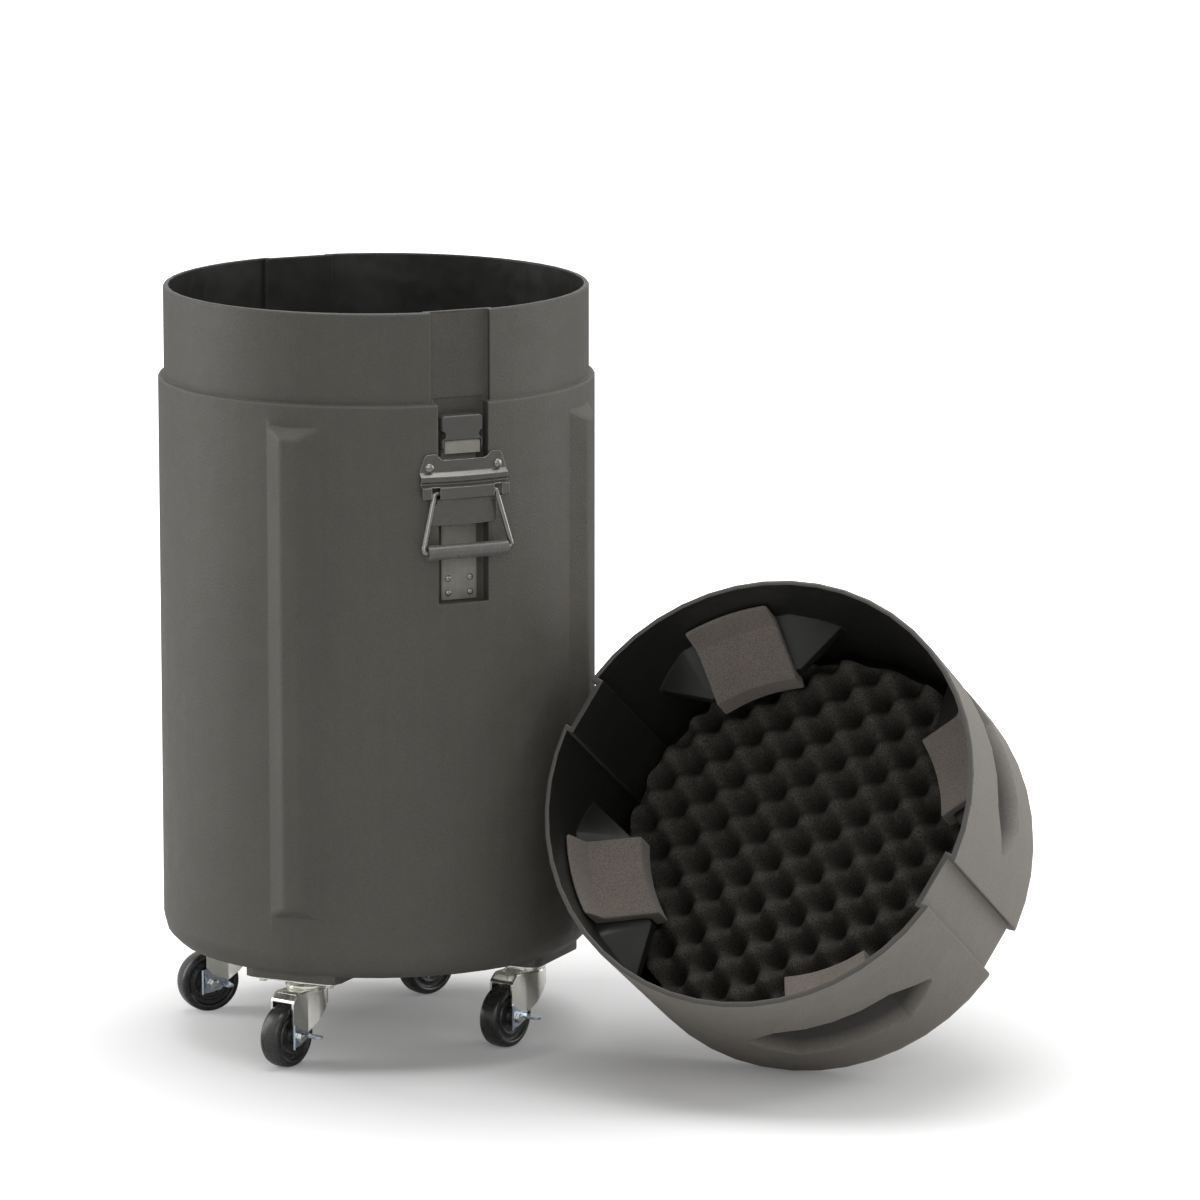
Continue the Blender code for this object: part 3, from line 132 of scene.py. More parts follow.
class FoamSettings(bpy.types.PropertyGroup):
    pad: colour("Pads", "Fine foam of the pads and the case's floor", 152, 143, 134)
    pore: colour("Pores", "Open pores of the pads", 112, 104, 97)
    crate: colour("Egg-crate foam", "Crests of the lid's block", 108, 104, 97)
    crate_pore: colour("Egg-crate pores", "Pores and hollows of the lid's block", 66, 63, 58)
    pore_size: length("Pore size", "Width of one pore", 0.0011, 0.0003, 0.005)
    pitch: length("Egg-crate pitch", "Distance between two hollows", 0.0344, 0.01, 0.1)
    turn: angle("Egg-crate turn", "Direction of a row of hollows in the lid's frame", 36.4)
    crest: length("Crest", "Depth of the crests below the lid's rim", 0.188, 0.1, 0.3)
    hollow: length("Hollow", "Depth of the hollows below the lid's rim", 0.2235, 0.1, 0.3)
    narrowness: amount("Narrowness", "How narrow the hollows are beside the ridges", 1.5, 6)
    pad_taper: length("Pad taper", "How much thinner a pad is at the lid's rim", 0.0085, 0, 0.011)
    pad_round: length("Pad rounding", "Rounding of a pad's edges", 0.0024, 0.0005, 0.005)


class TrimSettings(bpy.types.PropertyGroup):
    webbing: colour("Webbing", "Threads of the straps", 170, 167, 157)
    webbing_dark: colour("Webbing gaps", "Between the threads", 122, 120, 112)
    thread: length("Thread", "Width of a thread of the weave", 0.0013, 0.0004, 0.005)
    slot: length("Slot filling", "How far the loop bulges up into the buckle's slot", 0.0028)
    buckle: colour("Buckle", "Moulded buckle", 84, 83, 80)
    grip: colour("Grip", "Tube on the bail", 102, 101, 98)
    handle: colour("Handle", "Dark plated handle plate", 104, 102, 98)
    # Handle edge stands for rubbed plating and painted highlight along the edges.
    handle_edge: colour("Handle edge", "Where the plating is rubbed bright", 168, 166, 160)
    wire: colour("Wire", "Bails and rivets", 138, 136, 132)
    steel: colour("Steel", "Bushes, axles and nuts of the casters", 205, 204, 200)


class CasterSettings(bpy.types.PropertyGroup):
    zinc: colour("Zinc", "Bright zinc of plates and forks", 236, 235, 227)
    lever: colour("Blue zinc", "Brake levers", 196, 208, 220)
    wheel: colour("Wheel", "Hard black wheel", 46, 46, 45)
    dust: colour("Dust", "Dust on the treads", 92, 87, 80)
    crown: length("Crown", "How much the tread stands proud at its middle", 0.0004, 0, 0.003)
    edge_round: length("Edge rounding", "Of the pressed metal", 0.0007, 0.00005, 0.002)


class StudioSettings(bpy.types.PropertyGroup):
    floor: colour("Floor", "Pale floor", 232, 232, 232)
    floor_lift: amount("Floor lift", "White added to the camera's view of the middle", 0.10)
    floor_lift_near: amount("Near lift", "White added 0.75 m away from the middle", 0.64)
    ambient: amount("Ambient", "Even light from all round", 0.17, 2)
    mirrored: amount("Mirrored", "Brightness of the surroundings in metal", 0.8, 2)
    left_power: FloatProperty(name="Left softbox", description="Power", default=31, unit="POWER")
    right_power: FloatProperty(name="Right softbox", description="Power", default=31, unit="POWER")
    top_power: FloatProperty(name="Top softbox", description="Power", default=78, unit="POWER")
    front_power: FloatProperty(name="Front fill", description="Power", default=25, unit="POWER")
    away: length("Camera distance", "Level distance from the case's axis", 7.442, 1, 30)
    height: length("Camera height", "Above the floor", 1.874, 0, 10)
    bearing: angle("Camera bearing", "From straight in front, towards the left", 22.828)
    heading: angle("Camera heading", "Turn of the view from straight ahead", 24.6)
    pitch: angle("Camera pitch", "Below level", 10.83)
    lens_pixels: amount("Lens", "Focal length in pixels of the framing", 7308.8, 50000)


class CongaCaseSettings(bpy.types.PropertyGroup):
    shell: PointerProperty(type=ShellSettings, name="Shell", description="Moulded case and lid")
    foam: PointerProperty(type=FoamSettings, name="Foam", description="Pads and foam blocks")
    trim: PointerProperty(type=TrimSettings, name="Trim", description="Straps and handles")
    caster: PointerProperty(type=CasterSettings, name="Casters", description="Casters")
    studio: PointerProperty(type=StudioSettings, name="Studio", description="Camera and light")


class Signal:
    """One output socket in a finish, so that shader maths reads as a plain expression."""

    def __init__(self, finish, socket):
        self.finish = finish
        self.socket = socket

    def beside(self, name):
        """Another output of the same node."""
        return Signal(self.finish, self.socket.node.outputs[name])

    def maths(self, operation, *values):
        return self.finish.node("ShaderNodeMath", {"operation": operation},
                                dict(enumerate(values)))

    def __add__(self, other):
        return self.maths("ADD", self, other)

    def __radd__(self, other):
        return self.maths("ADD", other, self)

    def __sub__(self, other):
        return self.maths("SUBTRACT", self, other)

    def __rsub__(self, other):
        return self.maths("SUBTRACT", other, self)

    def __mul__(self, other):
        return self.maths("MULTIPLY", self, other)

    def __rmul__(self, other):
        return self.maths("MULTIPLY", other, self)

    def __truediv__(self, other):
        return self.maths("DIVIDE", self, other)

    def __rtruediv__(self, other):
        return self.maths("DIVIDE", other, self)

    def __mod__(self, other):
        return self.maths("FLOORED_MODULO", self, other)

    def __rmod__(self, other):
        return self.maths("FLOORED_MODULO", other, self)

    def __abs__(self):
        return self.maths("ABSOLUTE", self)

    def floor(self):
        return self.maths("FLOOR", self)

    def sine(self):
        return self.maths("SINE", self)


class NodeWork:
    """The nodes of a material or of the world, all made by one method."""

    def __init__(self, holder):
        holder.use_nodes = True
        self.tree = holder.node_tree

    def feed(self, socket, value):
        if isinstance(value, Signal):
            self.tree.links.new(value.socket, socket)
        elif socket.type == "RGBA" and isinstance(value, (int, float)):
            socket.default_value = (value, value, value, 1)
        elif socket.type == "RGBA" and len(value) == 3:
            socket.default_value = (*value, 1)
        else:
            socket.default_value = value

    def node(self, kind, settings=None, values=None, output=0):
        """New node with its settings put in first, then its sockets' values or links."""
        made = self.tree.nodes.new(kind)
        for name, value in (settings or {}).items():
            setattr(made, name, value)
        for name, value in (values or {}).items():
            self.feed(made.inputs[name], value)
        return Signal(self, made.outputs[output])

    def show(self, shader, own):
        """Use a shader where the tree has its own one."""
        given = self.tree.nodes[own]
        surface = given.outputs[0].links[0].to_socket
        self.tree.nodes.remove(given)
        self.tree.links.new(shader.socket, surface)


class Finish(NodeWork):
    """A material for one finish, built up node by node."""

    def __init__(self, name):
        self.material = bpy.data.materials.new(name)
        super().__init__(self.material)
        self.shader = self.tree.nodes["Principled BSDF"]
        self.place = self.node("ShaderNodeTexCoord", output="Object")

    def vector(self, operation, *values, output=0):
        return self.node("ShaderNodeVectorMath", {"operation": operation},
                         dict(enumerate(values)), output)

    def stretched(self, x, y, z):
        """The object's own coordinates, scaled apart along its axes."""
        return self.vector("MULTIPLY", self.place, (x, y, z))

    def noise(self, scale, detail=2.0, roughness=0.5, place=None):
        return self.node("ShaderNodeTexNoise", {"noise_dimensions": "3D"},
                         {"Vector": place or self.place, "Scale": scale, "Detail": detail,
                          "Roughness": roughness})

    def cells(self, size, feature="F1", place=None):
        return self.node("ShaderNodeTexVoronoi", {"feature": feature},
                         {"Vector": place or self.place, "Scale": 1 / size})

    def spread(self, value, start, end, low, high):
        """A value from start to end, carried over to low to high and held at both."""
        return self.node("ShaderNodeMapRange", {"clamp": True},
                         {"Value": value, "From Min": start, "From Max": end,
                          "To Min": low, "To Max": high})

    def mottle(self, pattern, low, high):
        """A noise pattern carried over to low to high."""
        return self.spread(pattern, *PATTERN, low, high)

    def mixed(self, share, first, second, blend="MIX"):
        return self.node("ShaderNodeMix", {"data_type": "RGBA", "blend_type": blend},
                         {0: share, 6: first, 7: second}, 2)

    def shaded(self, tone, level):
        """A colour made lighter or darker all over by a level near 1."""
        return self.mixed(1.0, tone, level, "MULTIPLY")

    def bump(self, height, depth, below=None):
        values = {"Height": height, "Strength": 1.0, "Distance": depth}
        if below:
            values["Normal"] = below
        return self.node("ShaderNodeBump", None, values)

    def rounded(self, radius):
        """Normal rounded over the edges, and how near an edge each spot is."""
        soft = self.node("ShaderNodeBevel", {"samples": 4}, {"Radius": radius})
        flat = self.node("ShaderNodeNewGeometry", output="Normal")
        turn = 1 - self.vector("DOT_PRODUCT", soft, flat, output="Value")
        return soft, self.spread(turn, *EDGE_TURN, 0, 1)

    def paint(self, **sockets):
        """Feed the shader's sockets, with a space in a name written as an underscore."""
        for name, value in sockets.items():
            self.feed(self.shader.inputs[name.replace("_", " ")], value)
        return self.material


def settings():
    return bpy.context.scene.conga_case


def lighter(tone, lift):
    return tuple(value + (1 - value) * lift for value in tone)


def around(finish, origin, axis):
    """How squarely a face looks away from an axis, how far from it it is, and how far along.

    A face is at 1 if it looks straight outwards and at -1 if it looks inwards.
    """
    away = finish.vector("SUBTRACT", finish.place, tuple(origin))
    along = finish.vector("DOT_PRODUCT", away, tuple(axis), output="Value")
    drop = finish.node("ShaderNodeVectorMath", {"operation": "SCALE"},
                       {0: tuple(axis), "Scale": along})
    spoke = finish.vector("SUBTRACT", away, drop)
    facing = finish.vector("DOT_PRODUCT", finish.vector("NORMALIZE", spoke),
                           finish.place.beside("Normal"), output="Value")
    return facing, finish.vector("LENGTH", spoke, output="Value"), along


def moulded_plastic(name, outside, look, origin, axis, rim, recess, shade):
    """Leather-grained moulding, smooth on its inner faces, and darkened there and on its rim as
    painted shade.

    The rim is a height along the axis. A recess gets painted shade, as the tables of pockets and
    latches say.
    """
    finish = Finish(name)
    facing, spoke, along = around(finish, origin, axis)
    # Inner faces and the rim take the inside colour below as painted shade; inner faces are also
    # smoother and glossier.
    within = finish.spread(facing, -0.08, -0.3, 0, 1)
    rim_painted_shade = finish.spread(abs(along - rim), 0.0012, 0.0024, look.rim_shade, 0)
    within = within.maths("MAXIMUM", within, rim_painted_shade)
    # Painted shade in the recesses: darker deeper in, between the heights, on slanted or deep
    # faces.
    outer, inner, low, high, square = recess
    slanted = finish.spread(facing, square, square - 0.075, 0, 1)
    deep = finish.spread(spoke, inner, inner - 0.008, 0, 1)
    sunk = (finish.spread(spoke, outer, inner, 0, shade) * slanted.maths("MAXIMUM", slanted, deep)
            * finish.spread(along, low - 0.01, low, 0, 1)
            * finish.spread(along, high, high + 0.01, 1, 0))
    cloud = finish.noise(7, 4, 0.6)
    blotch = finish.noise(46, 3, 0.6)
    fleck = finish.noise(620, 2, 0.6)
    streak = finish.noise(1, 3, 0.6, finish.stretched(90, 90, 5))
    level = (finish.mottle(cloud, 0.93, 1.06)
             * finish.mottle(blotch, 0.955, 1.045)
             * finish.spread(streak, 0.35, 0.65, 0.975, 1.02)
             * finish.mottle(fleck, 0.87, 1.12) * (1 - sunk))
    scuff = finish.noise(1, 6, 0.72, finish.stretched(34, 34, 11))
    rubbed = finish.spread(scuff, 0.66, 0.80, 0, 0.10)
    skin = finish.mixed(rubbed, finish.shaded(tuple(outside), level),
                        lighter(outside, 0.22))
    # Painted shade: the inner faces and the rim turn to the inside colour.
    tone = finish.mixed(within, skin, tuple(look.inside))
    grain = (finish.cells(look.grain, "SMOOTH_F1") * 0.8
             + finish.noise(1 / look.grain * 1.7, 2) * 0.5)
    swell = finish.noise(17, 2)
    soft, near_edge = finish.rounded(look.edge_round)
    # Paler near the edges: rubbed wear and painted highlight.
    tone = finish.mixed(near_edge * look.edge_lift, tone, lighter(outside, 0.5))
    relief = finish.bump(grain * (1 - within * 0.94), look.grain_depth,
                         finish.bump(swell, 0.0018, soft))
    dull = finish.mottle(blotch, look.roughness - 0.05, look.roughness + 0.07)
    gloss = dull - within * (look.roughness - look.inner_roughness) + rubbed * 0.15
    return finish.paint(Base_Color=tone, Roughness=gloss, Normal=relief, IOR=1.46)


def open_foam(name, crest, pore, size, depth, sheen=0.25, sunk=None):
    """Open-cell foam: irregular pores, a speckled skin and a faint nap.

    Sunk gives an origin, an axis and two distances along it over which the foam goes from painted
    light on the crests to painted shade in the hollows.
    """
    finish = Finish(name)
    bent = finish.vector("ADD", finish.place, finish.vector(
        "MULTIPLY", finish.noise(300, 1).beside("Color"), (0.0016,) * 3))
    holes = finish.cells(size, "F1", bent)
    small = finish.noise(2100, 2, 0.6)
    speck = finish.spread(holes + small * 0.5, 0.35, 1.0, 0, 1)
    cloud = finish.noise(15, 4, 0.6)
    warm = finish.spread(finish.noise(4.5, 2), 0.46, 0.64, 0, 0.35)
    tone = finish.mixed(speck, tuple(crest), tuple(pore))
    tone = finish.mixed(warm, tone, finish.shaded(tone, 0.86))
    tone = finish.shaded(tone, finish.mottle(cloud, 0.92, 1.07))
    # Painted light on the crests and painted shade in the hollows, by depth along the axis.
    if sunk:
        origin, axis, shallow, deep = sunk
        away = finish.vector("SUBTRACT", finish.place, tuple(origin))
        below = finish.vector("DOT_PRODUCT", away, tuple(axis), output="Value")
        tone = finish.shaded(tone, finish.spread(below, shallow, deep, 1.12, 0.22))
    height = (1 - holes) * 0.7 + small * 0.6
    relief = finish.bump(height, depth, finish.bump(cloud, 0.0012))
    return finish.paint(Base_Color=tone, Roughness=0.94, Normal=relief,
                        Specular_IOR_Level=0.2, Sheen_Weight=sheen, Sheen_Roughness=0.5)


def plated_metal(name, tone, roughness, edge, radius, drawn=(900, 900, 60), metallic=1.0):
    """Plated metal with patches of duller plating, fine draw lines and small pits.

    The edge is the colour within a radius of an edge: rubbed-bright plating and painted highlight.
    Less than fully metallic stands for a thin dark coating over the metal.
    """
    finish = Finish(name)
    patch = finish.noise(140, 4, 0.6)
    lines = finish.noise(1, 2, 0.5, finish.stretched(*drawn))
    pits = finish.noise(1700, 2)
    level = finish.mottle(patch, 0.96, 1.02) * finish.mottle(lines, 0.98, 1.01)
    tarnish = finish.spread(finish.noise(60, 5, 0.7), 0.6, 0.8, 0, 0.1)
    skin = finish.mixed(tarnish, finish.shaded(tuple(tone), level),
                        tuple(value * 0.62 for value in tone))
    soft, near_edge = finish.rounded(radius)
    # Paler within the radius of an edge: rubbed plating and painted highlight.
    skin = finish.mixed(near_edge, skin, tuple(edge))
    dull = finish.mottle(patch, roughness - 0.03, roughness + 0.04) + tarnish * 0.2
    relief = finish.bump(lines * 0.6 + pits * 0.4, 0.00001, finish.bump(patch, 0.00003, soft))
    return finish.paint(Base_Color=skin, Metallic=metallic, Roughness=dull, Normal=relief,
                        Coat_Weight=1 - metallic, Coat_Roughness=0.2)


def fine_plastic(name, tone, roughness, radius, speck=0.06):
    """Smooth hard plastic with a fine sparked texture and handling marks."""
    finish = Finish(name)
    cloud = finish.noise(60, 3, 0.6)
    spark = finish.noise(1900, 2)
    marks = finish.spread(finish.noise(1, 5, 0.75, finish.stretched(420, 420, 120)),
                          0.62, 0.74, 0, 0.3)
    level = (finish.mottle(cloud, 0.93, 1.06)
             * finish.mottle(spark, 1 - speck, 1 + speck))
    skin = finish.mixed(marks, finish.shaded(tuple(tone), level), lighter(tone, 0.12))
    dull = finish.mottle(cloud, roughness - 0.05, roughness + 0.07) + marks * 0.2
    soft, near_edge = finish.rounded(radius)
    skin = finish.mixed(near_edge * 0.5, skin, lighter(tone, 0.12))
    relief = finish.bump(spark, 0.00004, finish.bump(cloud, 0.00015, soft))
    return finish.paint(Base_Color=skin, Roughness=dull, Normal=relief, IOR=1.48)


def wheel_plastic(name, look, rolled=0.0):
    """Hard black wheel plastic; rolled is the share of dust on a tread."""
    finish = Finish(name)
    cloud = finish.noise(130, 4, 0.65)
    spark = finish.noise(1300, 2)
    dust = finish.spread(finish.noise(60, 4, 0.6), 0.45, 0.75, 0, 0.01 + rolled)
    tone = finish.mixed(dust, finish.shaded(tuple(look.wheel),
                                            finish.mottle(cloud, 0.85, 1.15)),
                        tuple(look.dust))
    dull = finish.mottle(cloud, 0.24, 0.30) + dust * 0.4
    relief = finish.bump(spark, 0.000006, finish.bump(cloud, 0.00002))
    return finish.paint(Base_Color=tone, Roughness=dull, Normal=relief, IOR=1.5)


def woven_webbing(name, look, middle):
    """Plain-woven webbing across X, with heavier threads along both selvedges."""
    finish = Finish(name)
    parts = finish.node("ShaderNodeSeparateXYZ", None, {0: finish.place})
    weft = parts.beside("Z") / (look.thread * 0.9)
    warp = (parts.beside("X") - middle) / look.thread
    over = (warp.floor() + weft.floor()) % 2
    ridge = abs((warp * pi).sine())
    course = abs((weft * pi).sine())
    thread = over * ridge + (1 - over) * course
    fuzz = finish.noise(2600, 2, 0.6)
    selvedge = finish.spread(abs(warp), *(reach / look.thread for reach in SELVEDGE), 0, 1)
    tone = finish.mixed(finish.spread(thread, 0.1, 0.75, 0, 1), tuple(look.webbing_dark),
                        tuple(look.webbing))
    tone = finish.shaded(tone, finish.mottle(fuzz, 0.86, 1.12))
    tone = finish.shaded(tone, finish.mottle(finish.noise(70, 3), 0.9, 1.08))
    tone = finish.mixed(selvedge * 0.35, tone, tuple(look.webbing_dark))
    relief = finish.bump(thread + fuzz * 0.25, 0.00035)
    return finish.paint(Base_Color=tone, Roughness=0.82, Normal=relief,
                        Specular_IOR_Level=0.3, Sheen_Weight=0.3, Sheen_Roughness=0.4)


def dressed(names, material, crease=32):
    """Give CAD nodes a new finish, and shade their faces as one below the crease angle."""
    for name in names:
        item = frame["nodes"][name]
        mesh = item.data
        mesh.materials.clear()
        mesh.materials.append(material)
        if "custom_normal" in mesh.attributes:
            mesh.attributes.remove(mesh.attributes["custom_normal"])
        mesh.shade_smooth()
        weld = item.modifiers.new("Joined", "WELD")
        weld.merge_threshold = JOIN
        split = item.modifiers.new("Creases", "EDGE_SPLIT")
        split.split_angle = radians(crease)
        even = item.modifiers.new("Even", "WEIGHTED_NORMAL")
        even.weight = 60


def made_piece(name, work, materials, body, replaced=()):
    """Piece from a bmesh, riding on a body and standing for CAD nodes."""
    bmesh.ops.remove_doubles(work, verts=work.verts, dist=0.000002)
    bmesh.ops.recalc_face_normals(work, faces=work.faces)
    mesh = bpy.data.meshes.new(name)
    work.to_mesh(mesh)
    work.free()
    for material in materials:
        mesh.materials.append(material)
    mesh.shade_smooth()
    item = bpy.data.objects.new(name, mesh)
    bpy.context.scene.collection.objects.link(item)
    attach(item, body)
    if replaced:
        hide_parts(*replaced)
    split = item.modifiers.new("Creases", "EDGE_SPLIT")
    split.split_angle = radians(40)
    return item


def turned(work, profile, segments, matrix, material=0):
    """Add a solid of revolution about the matrix's Z, from (radius, height) points."""
    points = [work.verts.new(matrix @ Vector((radius, 0, height))) for radius, height in profile]
    edges = [work.edges.new(pair) for pair in zip(points, points[1:])]
    before = set(work.faces)
    bmesh.ops.spin(work, geom=points + edges, cent=matrix.translation,
                   axis=matrix.to_3x3().col[2], angle=2 * pi, steps=segments, use_merge=True)
    for face in set(work.faces) - before:
        face.material_index = material


def rounded_profile(points, radius, steps=4):
    """Open profile with its inner corners turned to arcs."""
    outline = [points[0]]
    for before, corner, after in zip(points, points[1:], points[2:]):
        corner, first, last = Vector(corner), Vector(before), Vector(after)
        first = corner + (first - corner).normalized() * min(radius, (first - corner).length / 2)
        last = corner + (last - corner).normalized() * min(radius, (last - corner).length / 2)
        for step in range(steps + 1):
            share = step / steps
            outline.append(tuple(first * (1 - share) ** 2 + corner * 2 * share * (1 - share)
                                 + last * share ** 2))
    return outline + [points[-1]]


def mirrored(profile):
    """The profile on the other side of height 0."""
    return [(radius, -height) for radius, height in profile]


def toward(origin, direction):
    """Matrix that stands Z along a direction from a point."""
    turn = Vector(direction).to_track_quat("Z", "X")
    return Matrix.Translation(origin) @ turn.to_matrix().to_4x4()


def case_axis():
    low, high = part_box("body_floor_foam")
    return (low.x + high.x) / 2, (low.y + high.y) / 2


def lid_frame():
    """The lid's own frame: its turn, and its rim's centre found from its foam and shell."""
    back = LID_TURN.inverted()

    def reach(name):
        points = [back @ vertex.co for vertex in frame["nodes"][name].data.vertices]
        return [(min(point[axis] for point in points), max(point[axis] for point in points))
                for axis in range(3)]

    foam = reach("lid_foam")
    rim = reach("lid_shell")[2][0]
    centre = (sum(foam[0]) / 2, sum(foam[1]) / 2, rim)
    radius = (foam[0][1] - foam[0][0]) / 2
    return LID_TURN @ Matrix.Translation(centre), radius, foam[2][1] - rim


class CONGA_OT_shells(bpy.types.Operator):
    """Grained finish and rounded edges for the moulded case and its lid"""
    bl_idname = "conga_case.shells"
    bl_label = "Case and lid mouldings"

    def execute(self, context):
        look = settings().shell
        matrix, _, _ = lid_frame()
        axis_x, axis_y = case_axis()
        case = moulded_plastic("case_moulding", look.case, look, (axis_x, axis_y, 0), (0, 0, 1),
                               CASE_RIM, LATCH_PAINTED_SHADE, look.latch_shade)
        lid = moulded_plastic("lid_moulding", look.lid, look, matrix.translation,
                              matrix.to_3x3().col[2], 0.0, POCKET_PAINTED_SHADE, look.pocket_shade)
        dressed(["body_shell"], case)
        dressed(["lid_shell"], lid)
        return {"FINISHED"}


class CONGA_OT_floor_foam(bpy.types.Operator):
    """Soft-edged foam disc on the floor of the case"""
    bl_idname = "conga_case.floor_foam"
    bl_label = "Floor foam"

    def execute(self, context):
        look = settings().foam
        low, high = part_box("body_floor_foam")
        radius = (high.x - low.x) / 2
        axis_x, axis_y = case_axis()
        edge_round, unevenness = 0.006, 0.0012
        profile = rounded_profile([(0, low.z), (radius, low.z), (radius, high.z), (0, high.z)],
                                  edge_round)
        rings = [(radius * share, high.z) for share in (0.9, 0.72, 0.54, 0.36, 0.18)]
        profile = profile[:-1] + rings + [(0, high.z)]
        work = bmesh.new()
        turned(work, profile, 96, Matrix.Translation((axis_x, axis_y, 0)))
        for vertex in work.verts:
            if vertex.co.z > (low.z + high.z) / 2:
                vertex.co.z -= unevenness * (0.5 + 0.5 * noise.noise(vertex.co * 22))
        foam = open_foam("floor_foam", look.pad, look.pore, look.pore_size, 0.0005)
        disc = made_piece("floor_foam_disc", work, [foam], "case",
                          ["body_floor_foam"])
        return {"FINISHED"}


class CONGA_OT_egg_crate(bpy.types.Operator):
    """Egg-crate foam block in the closed end of the lid"""
    bl_idname = "conga_case.egg_crate"
    bl_label = "Egg-crate foam"

    def execute(self, context):
        look = settings().foam
        matrix, radius, floor = lid_frame()
        first_hollow = (-0.0359, -0.0468)
        unevenness, clearance = 0.0009, 0.004
        row = Vector((cos(look.turn), sin(look.turn)))
        column = Vector((sin(look.turn), -cos(look.turn)))
        chamfer_in, chamfer_up = 0.0185, 0.0222

        def depth(x, y):
            place = Vector((x - first_hollow[0], y - first_hollow[1]))
            wave = (cos(2 * pi * place.dot(row) / look.pitch)
                    + cos(2 * pi * place.dot(column) / look.pitch)) / 2
            sunk = (0.5 + 0.5 * wave) ** look.narrowness
            rough = noise.noise(Vector((x, y, 0.3)) * 55) * unevenness
            out = max(0, hypot(x, y) - (radius - chamfer_in))
            deepest = floor - clearance - out * chamfer_up / chamfer_in * 1.15
            return min(look.crest + (look.hollow - look.crest) * sunk + rough, deepest)

        count = 190
        work = bmesh.new()
        rows = []
        for i in range(count + 1):
            line = []
            for j in range(count + 1):
                u, v = 2 * i / count - 1, 2 * j / count - 1
                x = radius * u * (1 - v * v / 2) ** 0.5
                y = radius * v * (1 - u * u / 2) ** 0.5
                line.append(work.verts.new(matrix @ Vector((x, y, depth(x, y)))))
            rows.append(line)
        for i in range(count):
            for j in range(count):
                work.faces.new((rows[i][j], rows[i + 1][j], rows[i + 1][j + 1], rows[i][j + 1]))
        edge = ([rows[i][0] for i in range(count)] + [rows[count][j] for j in range(count)]
                + [rows[i][count] for i in range(count, 0, -1)]
                + [rows[0][j] for j in range(count, 0, -1)])
        back = matrix.inverted()
        loops = [edge]
        for inset, level in ((0, floor - chamfer_up), (chamfer_in, floor)):
            loop = []
            for vertex in edge:
                x, y, _ = back @ vertex.co
                share = (radius - inset) / hypot(x, y)
                loop.append(work.verts.new(matrix @ Vector((x * share, y * share, level))))
            loops.append(loop)
        for first, second in zip(loops, loops[1:]):
            for index, vertex in enumerate(first):
                following = (index + 1) % len(first)
                work.faces.new((vertex, first[following], second[following], second[index]))
        work.faces.new(loops[-1])
        # The block's foam gets painted light on its crests and painted shade in its hollows.
        foam = open_foam("egg_crate_foam", look.crate, look.crate_pore, look.pore_size * 1.3,
                         0.0006, 0.0, (matrix.translation, matrix.to_3x3().col[2],
                                       look.crest, look.hollow))
        block = made_piece("egg_crate_block", work, [foam], "lid", ["lid_foam"])
        return {"FINISHED"}


class CONGA_OT_lid_pads(bpy.types.Operator):
    """Four bent foam pads inside the lid"""
    bl_idname = "conga_case.lid_pads"
    bl_label = "Lid pads"

    def execute(self, context):
        look = settings().foam
        foam = open_foam("pad_foam_skin", look.pad, look.pore, look.pore_size, 0.0005)
        matrix, _, _ = lid_frame()
        back = matrix.inverted()
        for number in (1, 2, 3, 4):
            node = f"lid_pad_{number}"
            work = bmesh.new()
            work.from_mesh(frame["nodes"][node].data)
            bmesh.ops.remove_doubles(work, verts=work.verts, dist=JOIN)
            spots = {vertex: back @ vertex.co for vertex in work.verts}
            rim_end = min(spot.z for spot in spots.values()) + 0.003
            inner = max(hypot(spot.x, spot.y) for spot in spots.values()) - 0.006
            for vertex, spot in spots.items():
                radius = hypot(spot.x, spot.y)
                if spot.z < rim_end and radius < inner:
                    share = (radius + look.pad_taper) / radius
                    vertex.co = matrix @ Vector((spot.x * share, spot.y * share, spot.z))
            sharp = [line for line in work.edges if line.calc_face_angle(0) > radians(50)]
            bmesh.ops.bevel(work, geom=sharp, offset=look.pad_round, segments=3, profile=0.5,
                            affect="EDGES", clamp_overlap=True)
            pad = made_piece(f"soft_pad_{number}", work, [foam], "lid", [node])
            pad.modifiers.clear()
            fine = pad.modifiers.new("Fine", "SUBSURF")
            fine.levels = 2
            fine.render_levels = 2
        return {"FINISHED"}


def banded(work, path, width, thickness, middle):
    """Add webbing that follows (y, z) points, with soft edges and a slight waviness."""
    half, thin = width / 2, thickness / 2
    across, waviness = 16, 0.00025
    section = [(-half + thin + (width - thickness) * step / across, thin)
               for step in range(across + 1)]
    section += [(half - thin + thin * sin(pi * step / 6), thin * cos(pi * step / 6))
                for step in range(1, 6)]
    section += [(x, -t) for x, t in section[across::-1]]
    section += [(-x, t) for x, t in section[across + 1:across + 6]][::-1]
    rings = []
    for index, point in enumerate(path):
        before = Vector(path[max(index - 1, 0)])
        after = Vector(path[min(index + 1, len(path) - 1)])
        along = (after - before).normalized()
        side = Vector((-along.y, along.x))
        ring = []
        for x, out in section:
            wave = waviness * noise.noise(Vector((x * 30, point[1] * 30, 1.7)))
            spot = Vector(point) + side * (out + wave)
            ring.append(work.verts.new((middle + x, spot.x, spot.y)))
        rings.append(ring)
    for first, second in zip(rings, rings[1:]):
        for index in range(len(section)):
            following = (index + 1) % len(section)
            work.faces.new((first[index], first[following], second[following], second[index]))
    work.faces.new(rings[0])
    work.faces.new(rings[-1])


